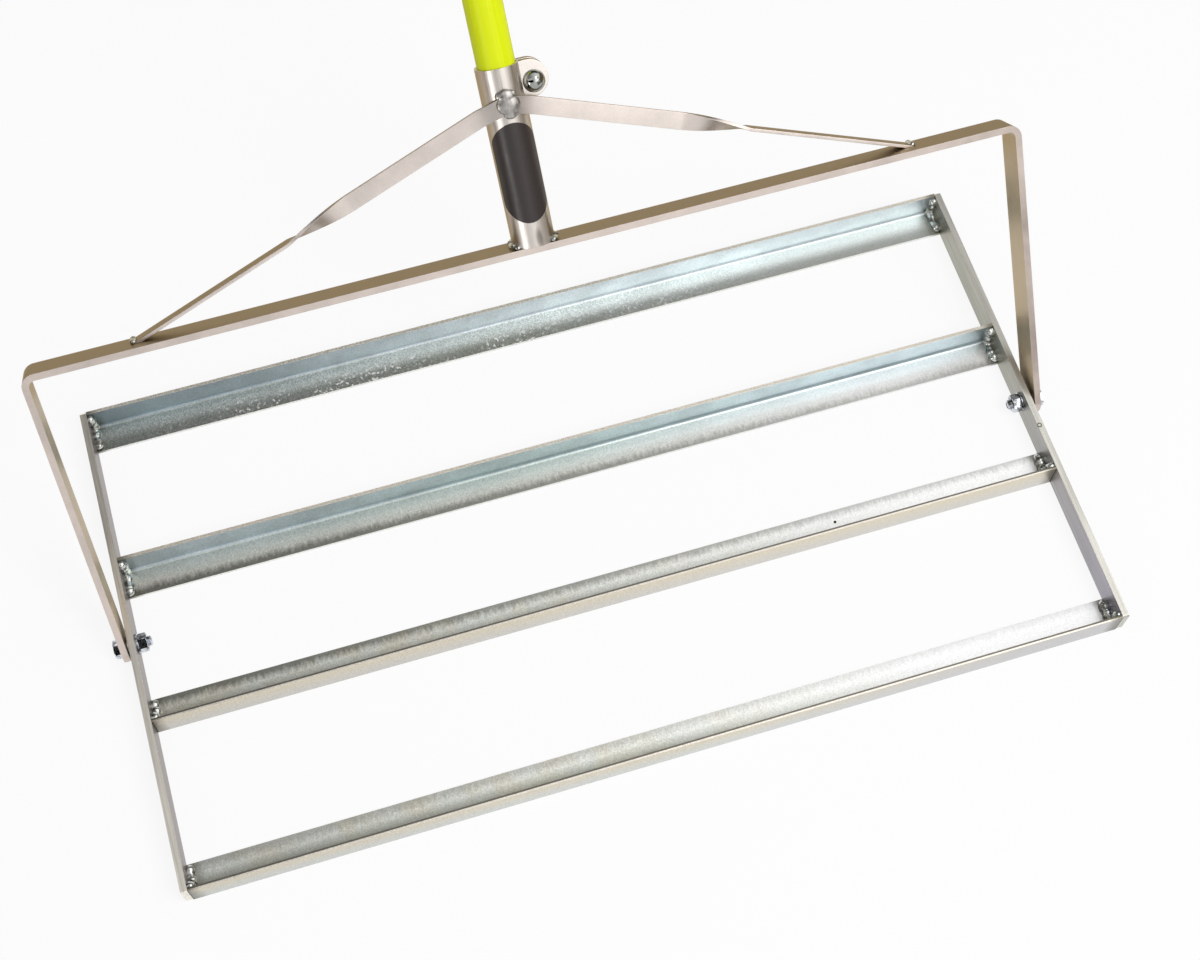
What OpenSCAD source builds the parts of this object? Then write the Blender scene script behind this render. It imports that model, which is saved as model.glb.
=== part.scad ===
// Lawn leveling rake: a flat steel head on a swinging yoke, with a clamped round handle.
// Millimetres. The origin is on the ground under the middle of the head.
// X runs along the blades, +Y is the side where the handle leans, +Z is up.

/* [Head] */
// Width of the head over its side plates
head_w = 914.4; // [600:0.1:1200]
// Depth of the head, which is the length of the side plates
head_d = 498; // [400:1:700]
// Thickness of the side plates
plate_t = 6.35; // [4:0.05:10]
// Radius on the corners of the side plates
plate_corner_r = 2.4; // [0.5:0.1:6]
// Leg of the blade angles, and the height of the side plates
blade_leg = 31.75; // [26:0.05:45]
// Thickness of the blade angles
blade_t = 3.175; // [2.5:0.005:5]
// Radius at the root of the blade angles
blade_root_r = 3.2; // [1:0.1:6]
// Distance from the middle of the head to the back of each middle blade
mid_blade_y = 85.6; // [65:0.1:130]
// Leg of the fillet weld at each blade end
blade_weld_leg = 5; // [3:0.1:8]
// How far the blade welds stop short of the blade's two edges
blade_weld_stop = 3; // [1:0.1:8]

/* [Yoke] */
// Width of the yoke bar
yoke_w = 31.75; // [26:0.05:45]
// Thickness of the yoke bar
yoke_t = 6.35; // [4:0.05:10]
// Gap between the head and the crossbar when the yoke lies flat
yoke_gap = 32.35; // [15:0.05:80]
// Outward lean of each yoke arm in degrees
yoke_splay = 1.5; // [0:0.1:2]
// Inside radius of the two yoke bends
yoke_bend_r = 6; // [4:0.5:30]
// Distance from the pivots to the round ends of the yoke arms
arm_end = 13.5; // [10:0.1:16]
// Angle of the yoke above the ground at rest, in degrees
yoke_angle = 48.55; // [20:0.05:90]

/* [Pivots] */
// Shank diameter of the pivot bolts
pivot_d = 10; // [8:0.1:12]
// Width across the flats of the pivot bolt heads and nuts
pivot_af = 16; // [15:0.1:19]
// Height of the pivot bolt heads
pivot_head_h = 6.4; // [4:0.1:9]
// Outside diameter of the pivot washers
pivot_washer_d = 20; // [17:0.1:24]
// Thickness of the pivot washers
pivot_washer_t = 2; // [1:0.1:4]
// Height of the pivot nuts
pivot_nut_h = 8.4; // [6:0.1:12]
// Length of bolt that shows past the pivot nuts
pivot_bolt_end = 4; // [1:0.1:8]
// Radial running clearance of the yoke arms on the pivot bolts
pivot_clear = 0.08; // [0.03:0.01:0.1]
// Side clearance of the yoke arms at the middle of the pivots
pivot_side_clear = 0.35; // [0.35:0.01:1]

/* [Socket] */
// Outside diameter of the handle that the socket takes
handle_d = 34.9; // [28:0.1:42]
// Radial clearance between the handle and the socket
socket_clear = 0.2; // [0.1:0.05:0.6]
// Wall of the socket tube
socket_wall = 2.35; // [1.5:0.05:4]
// Length of the socket tube
socket_len = 165; // [145:1:240]
// Width of the slit in the socket tube
slit_w = 3; // [1.5:0.1:6]
// How far the slit runs on below the clamp lugs
slit_past = 22; // [5:1:60]
// Leg of the weld at the foot of the socket tube
socket_weld_leg = 5; // [3:0.1:8]

/* [Clamp] */
// Thickness of the clamp lugs
lug_t = 6.35; // [4:0.05:8]
// Radius of the round end of the clamp lugs
lug_r = 17; // [15:0.1:20]
// Distance from the clamp bolt to the tips of the clamp lugs
lug_end = 13.6; // [12:0.1:20]
// How far the clamp bolt sits below the middle of the clamp lugs
clamp_bolt_drop = 3; // [0:0.1:4]
// Gap between the clamp bolt's head and the socket tube
dome_gap = 0.35; // [0.1:0.05:3]
// Shank diameter of the clamp bolt
clamp_d = 8; // [6:0.1:10]
// Diameter of the domed head of the clamp bolt
dome_d = 20.6; // [16:0.1:22]
// Height of the domed head of the clamp bolt
dome_h = 7; // [3:0.1:8]
// Outside diameter of the clamp washer
clamp_washer_d = 16; // [14:0.1:18]
// Thickness of the clamp washer
clamp_washer_t = 1.6; // [1:0.1:3]
// Width across the flats of the clamp nut
clamp_nut_af = 13; // [12:0.1:16]
// Height of the clamp nut
clamp_nut_h = 6.5; // [4:0.1:10]
// Length of bolt that shows past the clamp nut
clamp_bolt_end = 3; // [1:0.1:8]

/* [Braces] */
// Width of the brace bars
brace_w = 15.875; // [12:0.005:20]
// Thickness of the brace bars
brace_t = 3.175; // [2.5:0.005:6]
// Distance from the rim of the socket tube down to the middle of the braces
brace_drop = 31; // [28:0.5:45]
// Distance from the outside of the yoke to the foot of each brace
brace_inset = 106; // [60:1:160]
// How far the brace feet sit behind the middle of the crossbar
brace_foot_back = 5; // [0:0.1:5]
// Lean of the brace bars' inner ends round the front of the socket tube, in degrees
brace_wrap = 24; // [10:0.5:26]
// Distance from the socket tube's wall to the bend in the brace bars
brace_bend_out = 6; // [3:0.1:15]
// Length of the quarter twist in the brace bars
brace_twist_len = 66; // [40:1:90]
// Gap between the brace bars that the centre weld fills
brace_split = 6; // [3:0.1:10]
// Width of the crown of the centre weld
brace_weld_w = 13; // [11:0.1:18]
// Height of the centre weld over the ridge where the brace bars meet
brace_weld_h = 1.2; // [0.5:0.1:4]
// Length of the centre weld
brace_weld_len = 22; // [16:0.5:26]
// Leg of the weld at the foot of each brace
brace_foot_leg = 5; // [3:0.1:10]

/* [Label] */
// Width of the label as seen from the front
label_w = 38.6; // [24:0.1:39]
// Distance from the crossbar to the lower end of the label
label_foot = 23.5; // [15:0.5:35]
// Gap between the label and the centre weld
label_gap = 4.5; // [2:0.1:10]
// Thickness of the label
label_t = 0.25; // [0.15:0.05:0.5]

/* [Handle] */
// Length of the handle tube
handle_len = 1829; // [900:1:2200]
// Wall of the handle tube
handle_wall = 3.2; // [2:0.1:5]
// Length of the solid core inside the foot of the handle
core_len = 180; // [100:1:300]
// Length of the end plug inside the handle
end_plug_len = 35; // [15:1:80]
// Thickness of the end plug's cap
end_cap_h = 7; // [4:0.1:14]
// Gap under the handle where it stands on the crossbar
seat_gap = 0.3; // [0.1:0.1:1]
// Radial clearance of plugs in the handle, and of bolts and nuts that don't turn
close_clear = 0.05; // [0.02:0.01:0.1]

/* [Hidden] */

$fn = 96;
// How far every cut runs past the face it opens
overrun = 2;

// Head
plate_h = blade_leg;
plate_face = head_w / 2 - plate_t;
blade_len = 2 * plate_face;
outer_blade_y = head_d / 2;
weld_rise = blade_leg - blade_t - blade_weld_stop;

// Pivot stack, outwards from the inner face of the right plate
pivot_z = plate_h / 2;
pivot_r = pivot_d / 2;
arm_face = head_w / 2 + pivot_washer_t + pivot_side_clear;
pivot_x = arm_face + yoke_t / 2;
bolt_seat = arm_face + yoke_t + pivot_side_clear;
nut_seat = plate_face - pivot_washer_t;
nut_end = nut_seat - pivot_nut_h;
bolt_tip = nut_end - pivot_bolt_end;

// Yoke, drawn flat: Y runs from the pivots to the crossbar, Z is the side that faces up
yoke_reach = head_d / 2 + yoke_gap + yoke_t;
bend_mid_r = yoke_bend_r + yoke_t / 2;
bend_y = yoke_reach - yoke_bend_r - yoke_t;
arm_top_y = bend_y - bend_mid_r * sin(yoke_splay);
bend_x = pivot_x + arm_top_y * tan(yoke_splay) - bend_mid_r * cos(yoke_splay);
yoke_half_w = bend_x + yoke_bend_r + yoke_t;
bend_steps = 16;

// Socket and clamp
bore_r = handle_d / 2 + socket_clear;
socket_r = bore_r + socket_wall;
socket_rim = yoke_reach + socket_len;
lug_face = slit_w / 2 + lug_t;
lug_x = sqrt(socket_r * socket_r - lug_face * lug_face) + dome_gap + dome_d / 2;
lug_y = socket_rim - lug_r;
clamp_y = lug_y - clamp_bolt_drop;
clamp_r = clamp_d / 2;
clamp_nut_z = -lug_face - clamp_washer_t;
clamp_tip_z = clamp_nut_z - clamp_nut_h - clamp_bolt_end;
dome_r = (dome_d * dome_d / 4 + dome_h * dome_h) / (2 * dome_h);

// Braces: an inner leg against the front of the socket tube, then a leg to the crossbar
brace_foot_x = yoke_half_w - brace_inset;
brace_top_y = socket_rim - brace_drop;
brace_slope = atan2(brace_top_y - yoke_reach, brace_foot_x);
brace_top_z = (socket_r + brace_t / 2) / cos(brace_wrap);
brace_face_z = (socket_r + brace_t) / cos(brace_wrap);
brace_bend_x = socket_r + brace_bend_out;
brace_top = [0, brace_top_y, brace_top_z];
brace_bend = brace_top - brace_bend_x * [-1, tan(brace_slope), tan(brace_wrap)];
brace_foot = [brace_foot_x, yoke_reach, -brace_foot_back];
inner_dir = unit(brace_bend - brace_top);
outer_dir = unit(brace_foot - brace_bend);
outer_len = norm(brace_foot - brace_bend);
twist_mid_share = 0.466;
twist_start = outer_len * twist_mid_share - brace_twist_len / 2;
twist_steps = 20;
brace_foot_half = brace_t / 2 / sin(brace_slope);
brace_crest_y = brace_top_y + brace_w / 2 / cos(brace_slope);
crown_half = brace_weld_w / 2;
crown_h = brace_weld_h + crown_half * tan(brace_wrap);
crown_r = (crown_half * crown_half + crown_h * crown_h) / (2 * crown_h);

// Label and handle
label_top = brace_crest_y - brace_weld_len - label_gap;
label_end_r = label_w / 2;
label_bottom = yoke_reach + label_foot;
handle_r = handle_d / 2;
handle_bore_r = handle_r - handle_wall;
plug_r = handle_bore_r - close_clear;
handle_foot = yoke_reach + seat_gap;
handle_top = handle_foot + handle_len;

function unit(v) = v / norm(v);

// Frames and repeated shapes
module on_left() {
  mirror([1, 0, 0])
    children();
}

module on_yoke() {
  translate([0, 0, pivot_z])
    rotate([yoke_angle, 0, 0])
      children();
}

// A rod along +X from one X to another, at the pivot height
module pivot_rod(from_x, to_x, r, sides = $fn) {
  translate([from_x, 0, pivot_z])
    rotate([0, 90, 0])
      cylinder(h = to_x - from_x, r = r, $fn = sides);
}

// A rod along the yoke's length, or along its up direction
module yoke_rod(from_y, to_y, r) {
  translate([0, from_y, 0])
    rotate([-90, 0, 0])
      cylinder(h = to_y - from_y, r = r);
}

module clamp_rod(from_z, to_z, r, sides = $fn) {
  translate([lug_x, clamp_y, from_z])
    cylinder(h = to_z - from_z, r = r, $fn = sides);
}

function hex_r(across_flats) = across_flats / 2 / cos(30);

// Head
module side_plate() {
  corner_y = head_d / 2 - plate_corner_r;
  difference() {
    translate([plate_face, 0, 0])
      rotate([90, 0, 90])
        linear_extrude(plate_t)
          plate_outline(corner_y);
    pivot_rod(plate_face - overrun, plate_face + plate_t + overrun, pivot_r + close_clear);
  }
}

module plate_outline(corner_y) {
  translate([-corner_y, 0])
    square([2 * corner_y, plate_h]);
  translate([-head_d / 2, plate_corner_r])
    square([head_d, plate_h - 2 * plate_corner_r]);
  for (y = [-corner_y, corner_y], z = [plate_corner_r, plate_h - plate_corner_r])
    translate([y, z])
      circle(plate_corner_r);
}

// The angle's section: its back stands at the Y axis and its flat leg points to -X
module blade_outline() {
  translate([-blade_t, 0])
    square([blade_t, blade_leg]);
  translate([-blade_leg, 0])
    square([blade_leg, blade_t]);
  difference() {
    translate([-blade_t - blade_root_r, blade_t])
      square(blade_root_r);
    translate([-blade_t - blade_root_r, blade_t + blade_root_r])
      circle(blade_root_r);
  }
}

module blade(back_y) {
  translate([0, back_y, 0])
    rotate([90, 0, 90])
      linear_extrude(blade_len, center = true)
        blade_outline();
}

module in_front() {
  mirror([0, 1, 0])
    children();
}

// One weld: two wedges along the inside of the angle, against the right plate
module blade_weld(back_y) {
  difference() {
    translate([plate_face, back_y - blade_t, blade_t]) {
      linear_extrude(weld_rise)
        weld_wedge();
      rotate([90, 0, 0])
        linear_extrude(weld_rise)
          mirror([0, 1])
            weld_wedge();
    }
    blade(back_y);
  }
}

module weld_wedge() {
  polygon([[0, 0], [-blade_weld_leg, 0], [0, -blade_weld_leg]]);
}

module side_welds() {
  for (y = [mid_blade_y, outer_blade_y]) {
    blade_weld(y);
    in_front()
      blade_weld(y);
  }
}

// Pivots
module pivot_bolt() {
  pivot_rod(bolt_tip, bolt_seat + overrun, pivot_r);
  pivot_rod(bolt_seat, bolt_seat + pivot_head_h, hex_r(pivot_af), 6);
}

module pivot_washer(from_x) {
  difference() {
    pivot_rod(from_x, from_x + pivot_washer_t, pivot_washer_d / 2);
    pivot_rod(from_x - overrun, from_x + pivot_washer_t + overrun, pivot_r + close_clear);
  }
}

module pivot_nut() {
  difference() {
    pivot_rod(nut_end, nut_seat, hex_r(pivot_af), 6);
    pivot_rod(nut_end - overrun, nut_seat + overrun, pivot_r + close_clear);
  }
}

// Yoke
function bend_arc(r) = [
  for (i = [0 : bend_steps])
    let (turn = (90 + yoke_splay) * i / bend_steps - yoke_splay)
    [bend_x + r * cos(turn), bend_y + r * sin(turn)]
];

function mirrored(points) = [
  for (i = [len(points) - 1 : -1 : 0])
    [-points[i].x, points[i].y]
];

// One face of the right arm, from below its end up and round the bend
function arm_edge(side_x, r) = concat(
  [[pivot_x - yoke_w * tan(yoke_splay) + side_x / cos(yoke_splay), -yoke_w]],
  bend_arc(r)
);

module yoke_outline() {
  outer = arm_edge(yoke_t / 2, yoke_bend_r + yoke_t);
  inner = arm_edge(-yoke_t / 2, yoke_bend_r);
  outer_half = concat(outer, mirrored(outer));
  inner_half = concat(inner, mirrored(inner));
  polygon(concat(outer_half, [for (i = [len(inner_half) - 1 : -1 : 0]) inner_half[i]]));
}

// What is kept of the yoke, seen from its side, so that the arms get round ends
module arm_end_outline() {
  round_y = yoke_w / 2 - arm_end;
  translate([0, round_y])
    circle(yoke_w / 2);
  translate([-yoke_w / 2 - overrun, round_y])
    square([yoke_w + 2 * overrun, yoke_reach + yoke_w]);
}

module yoke_bar() {
  whole_w = 2 * yoke_half_w + 2 * overrun;
  color("rosybrown")
    on_yoke()
      difference() {
        intersection() {
          linear_extrude(yoke_w, center = true)
            yoke_outline();
          rotate([0, 90, 0])
            linear_extrude(whole_w, center = true)
              arm_end_outline();
        }
        rotate([0, 90, 0])
          cylinder(h = whole_w, r = pivot_r + pivot_clear, center = true);
      }
}

module socket_tube() {
  slit_y = lug_y - lug_r - slit_past;
  color("silver")
    on_yoke()
      difference() {
        yoke_rod(yoke_reach, socket_rim, socket_r);
        yoke_rod(yoke_reach - overrun, socket_rim + overrun, bore_r);
        translate([0, slit_y, -slit_w / 2])
          cube([socket_r + overrun, socket_rim - slit_y + overrun, slit_w]);
      }
}

module socket_weld() {
  weld_r = socket_r + socket_weld_leg;
  color("lightgray")
    on_yoke()
      intersection() {
        translate([0, yoke_reach, 0])
          rotate([-90, 0, 0])
            rotate_extrude()
              polygon([[socket_r, 0], [weld_r, 0], [socket_r, socket_weld_leg]]);
        translate([-weld_r, yoke_reach, -yoke_w / 2])
          cube([2 * weld_r, socket_weld_leg, yoke_w]);
      }
}

// Braces
// The way a bar's wide face looks when its edges run along the tube, and the way across it
function face_of(dir) = unit([-dir.z, 0, dir.x]);
function across_of(dir) = cross(face_of(dir), dir);

function twist_at(s) = 90 * min(max((s - twist_start) / brace_twist_len, 0), 1);

function bar_ring(from, dir, s, turn) = [
  for (corner = [[-1, -1], [1, -1], [1, 1], [-1, 1]])
    from + dir * s
    + (across_of(dir) * cos(turn) + face_of(dir) * sin(turn)) * corner.x * brace_w / 2
    + (face_of(dir) * cos(turn) - across_of(dir) * sin(turn)) * corner.y * brace_t / 2
];

// Slides a ring's corners along the bar to a plane
function cut_ring(ring, dir, through, normal) = [
  for (p = ring)
    p + dir * ((through - p) * normal) / (dir * normal)
];

function foot_ring() = [
  for (corner = [[-1, -1], [1, -1], [1, 1], [-1, 1]])
    brace_foot + [-corner.y * brace_foot_half, 0, corner.x * brace_w / 2]
];

module brace() {
  inner_ring = bar_ring(brace_top, inner_dir, 0, 0);
  rings = concat(
    [cut_ring(inner_ring, inner_dir, [brace_split / 2, 0, 0], [1, 0, 0])],
    [cut_ring(inner_ring, inner_dir, brace_bend, inner_dir + outer_dir)],
    [
      for (i = [0 : twist_steps])
        let (s = twist_start + brace_twist_len * i / twist_steps)
        bar_ring(brace_bend, outer_dir, s, twist_at(s))
    ],
    [foot_ring()]
  );
  last = 4 * (len(rings) - 1);
  sides = [
    for (r = [0 : len(rings) - 2], i = [0 : 3])
      let (a = 4 * r + i, b = 4 * r + (i + 1) % 4)
      each [[a, a + 4, b + 4], [a, b + 4, b]]
  ];
  ends = [[0, 1, 2], [0, 2, 3], [last + 2, last + 1, last], [last + 3, last + 2, last]];
  polyhedron([for (ring = rings) each ring], concat(sides, ends));
}

// The weld's section: it fills the split and crowns over the two front faces
module centre_weld_outline() {
  edge_z = brace_face_z - crown_half * tan(brace_wrap);
  top_z = brace_face_z + brace_weld_h;
  translate([-brace_split / 2, 0])
    square([brace_split, brace_face_z]);
  intersection() {
    translate([0, top_z - crown_r])
      circle(crown_r);
    polygon([
      [0, brace_face_z],
      [crown_half, edge_z],
      [crown_half, top_z],
      [-crown_half, top_z],
      [-crown_half, edge_z]
    ]);
  }
}

module brace_centre_weld() {
  color("gainsboro")
    on_yoke()
      difference() {
        translate([0, brace_crest_y, 0])
          rotate([90, 0, 0])
            linear_extrude(brace_weld_len)
              centre_weld_outline();
        yoke_rod(yoke_reach, socket_rim, socket_r);
      }
}

module brace_foot_weld() {
  translate([brace_foot_x + brace_foot_half, yoke_reach, -brace_foot_back - brace_w / 2])
    linear_extrude(brace_w)
      polygon([
        [0, 0],
        [brace_foot_leg, 0],
        [-brace_foot_leg * cos(brace_slope), brace_foot_leg * sin(brace_slope)]
      ]);
}

module brace_foot_welds() {
  color("lightgray")
    on_yoke() {
      brace_foot_weld();
      on_left()
        brace_foot_weld();
    }
}

// Clamp
module clamp_lug() {
  round_x = lug_x + lug_end - lug_r;
  difference() {
    translate([0, 0, slit_w / 2])
      linear_extrude(lug_t) {
        translate([round_x, lug_y])
          circle(lug_r);
        translate([0, lug_y - lug_r])
          square([round_x, 2 * lug_r]);
      }
    yoke_rod(yoke_reach, socket_rim + overrun, socket_r);
  }
}

module front_clamp_lug() {
  neck = clamp_d + 2 * close_clear;
  color("gainsboro")
    on_yoke()
      difference() {
        clamp_lug();
        translate([lug_x - neck / 2, clamp_y - neck / 2, 0])
          cube([neck, neck, lug_face + overrun]);
      }
}

module rear_clamp_lug() {
  color("gainsboro")
    on_yoke()
      difference() {
        mirror([0, 0, 1])
          clamp_lug();
        clamp_rod(-lug_face - overrun, 0, clamp_r + close_clear);
      }
}

module clamp_bolt() {
  color("whitesmoke")
    on_yoke() {
      clamp_rod(clamp_tip_z, lug_face, clamp_r);
      translate([lug_x - clamp_r, clamp_y - clamp_r, slit_w / 2])
        cube([clamp_d, clamp_d, lug_t]);
      intersection() {
        translate([lug_x, clamp_y, lug_face + dome_h - dome_r])
          sphere(dome_r);
        clamp_rod(lug_face, lug_face + dome_h + overrun, dome_d / 2 + overrun);
      }
    }
}

module clamp_washer() {
  color("silver")
    on_yoke()
      difference() {
        clamp_rod(clamp_nut_z, -lug_face, clamp_washer_d / 2);
        clamp_rod(clamp_nut_z - overrun, overrun - lug_face, clamp_r + close_clear);
      }
}

module clamp_nut() {
  color("silver")
    on_yoke()
      difference() {
        clamp_rod(clamp_nut_z - clamp_nut_h, clamp_nut_z, hex_r(clamp_nut_af), 6);
        clamp_rod(clamp_nut_z - clamp_nut_h - overrun, clamp_nut_z + overrun, clamp_r + close_clear);
      }
}

// Label and handle
module label() {
  color("black")
    on_yoke()
      intersection() {
        difference() {
          yoke_rod(label_bottom, label_top, socket_r + label_t);
          yoke_rod(label_bottom - overrun, label_top + overrun, socket_r);
        }
        linear_extrude(socket_r + label_t + overrun) {
          for (y = [label_bottom + label_end_r, label_top - label_end_r])
            translate([0, y])
              circle(label_end_r);
          translate([-label_end_r, label_bottom + label_end_r])
            square([label_w, label_top - label_bottom - label_w]);
        }
      }
}

module handle_tube() {
  color("yellow")
    on_yoke()
      difference() {
        yoke_rod(handle_foot, handle_top, handle_r);
        yoke_rod(handle_foot - overrun, handle_top + overrun, handle_bore_r);
      }
}

module handle_core() {
  color("tan")
    on_yoke()
      yoke_rod(handle_foot, handle_foot + core_len, plug_r);
}

module handle_end_plug() {
  color("black")
    on_yoke() {
      yoke_rod(handle_top - end_plug_len, handle_top, plug_r);
      intersection() {
        yoke_rod(handle_top, handle_top + end_cap_h, handle_r);
        translate([0, handle_top + end_cap_h - handle_d, 0])
          sphere(handle_d);
      }
    }
}

// Left and right pieces
module right_side_plate() { color("lightsteelblue") side_plate(); }
module left_side_plate() { on_left() right_side_plate(); }
module rear_blade() { color("lightsteelblue") blade(outer_blade_y); }
module rear_mid_blade() { color("lightsteelblue") blade(mid_blade_y); }
module front_mid_blade() { in_front() rear_mid_blade(); }
module front_blade() { in_front() rear_blade(); }
module right_blade_welds() { color("gainsboro") side_welds(); }
module left_blade_welds() { on_left() right_blade_welds(); }
module right_pivot_bolt() { color("silver") pivot_bolt(); }
module left_pivot_bolt() { on_left() right_pivot_bolt(); }
module right_arm_washer() { color("silver") pivot_washer(head_w / 2); }
module left_arm_washer() { on_left() right_arm_washer(); }
module right_nut_washer() { color("silver") pivot_washer(nut_seat); }
module left_nut_washer() { on_left() right_nut_washer(); }
module right_pivot_nut() { color("silver") pivot_nut(); }
module left_pivot_nut() { on_left() right_pivot_nut(); }
module right_brace() { color("rosybrown") on_yoke() brace(); }
module left_brace() { color("rosybrown") on_yoke() on_left() brace(); }

left_side_plate();
right_side_plate();
rear_blade();
rear_mid_blade();
front_mid_blade();
front_blade();
left_blade_welds();
right_blade_welds();
left_pivot_bolt();
right_pivot_bolt();
left_arm_washer();
right_arm_washer();
left_nut_washer();
right_nut_washer();
left_pivot_nut();
right_pivot_nut();
yoke_bar();
socket_tube();
socket_weld();
left_brace();
right_brace();
brace_centre_weld();
brace_foot_welds();
front_clamp_lug();
rear_clamp_lug();
clamp_bolt();
clamp_washer();
clamp_nut();
label();
handle_tube();
handle_core();
handle_end_plug();
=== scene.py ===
"""Lawn leveling rake: its pieces, finishes, light and camera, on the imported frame."""

import math
import random

import bmesh
import bpy
from mathutils import Matrix, Vector


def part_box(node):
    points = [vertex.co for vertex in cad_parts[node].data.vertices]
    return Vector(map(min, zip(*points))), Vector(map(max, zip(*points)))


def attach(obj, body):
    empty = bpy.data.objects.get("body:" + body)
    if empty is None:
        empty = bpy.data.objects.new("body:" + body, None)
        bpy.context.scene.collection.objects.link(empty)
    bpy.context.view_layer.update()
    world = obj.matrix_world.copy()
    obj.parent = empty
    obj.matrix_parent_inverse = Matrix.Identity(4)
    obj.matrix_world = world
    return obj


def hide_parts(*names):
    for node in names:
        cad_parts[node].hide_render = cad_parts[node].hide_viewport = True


bl_info = {
    "name": "Lawn leveling rake",
    "version": (1, 0, 0),
    "blender": (4, 5, 0),
    "location": "3D View > Sidebar > Rake",
    "description": "Builds the rake's pieces on its packed frame, with their finishes, light and camera",
    "category": "Object",
}

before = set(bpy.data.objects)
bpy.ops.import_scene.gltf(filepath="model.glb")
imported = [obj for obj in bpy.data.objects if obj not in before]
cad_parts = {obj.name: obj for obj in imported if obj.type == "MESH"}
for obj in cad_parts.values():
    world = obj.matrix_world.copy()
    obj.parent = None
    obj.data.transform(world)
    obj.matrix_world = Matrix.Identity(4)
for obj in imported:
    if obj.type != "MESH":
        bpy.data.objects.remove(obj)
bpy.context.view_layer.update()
MM = 0.001


def srgb(hex_colour):
    """Linear RGBA of an sRGB hex colour."""
    parts = [int(hex_colour[i : i + 2], 16) / 255 for i in (1, 3, 5)]
    linear = [c / 12.92 if c <= 0.04045 else ((c + 0.055) / 1.055) ** 2.4 for c in parts]
    return (*linear, 1.0)


def length(name, description, mm):
    """A length property, given in millimetres."""
    return bpy.props.FloatProperty(
        name=name, description=description, default=mm * MM, unit="LENGTH", precision=5
    )


def turn(name, description, degrees):
    """An angle property, given in degrees."""
    return bpy.props.FloatProperty(
        name=name, description=description, default=math.radians(degrees), subtype="ANGLE"
    )


def colour(name, description, hex_colour):
    """A colour property, given as sRGB hex."""
    return bpy.props.FloatVectorProperty(
        name=name,
        description=description,
        default=srgb(hex_colour),
        subtype="COLOR",
        size=4,
        min=0,
        max=1,
    )


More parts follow.
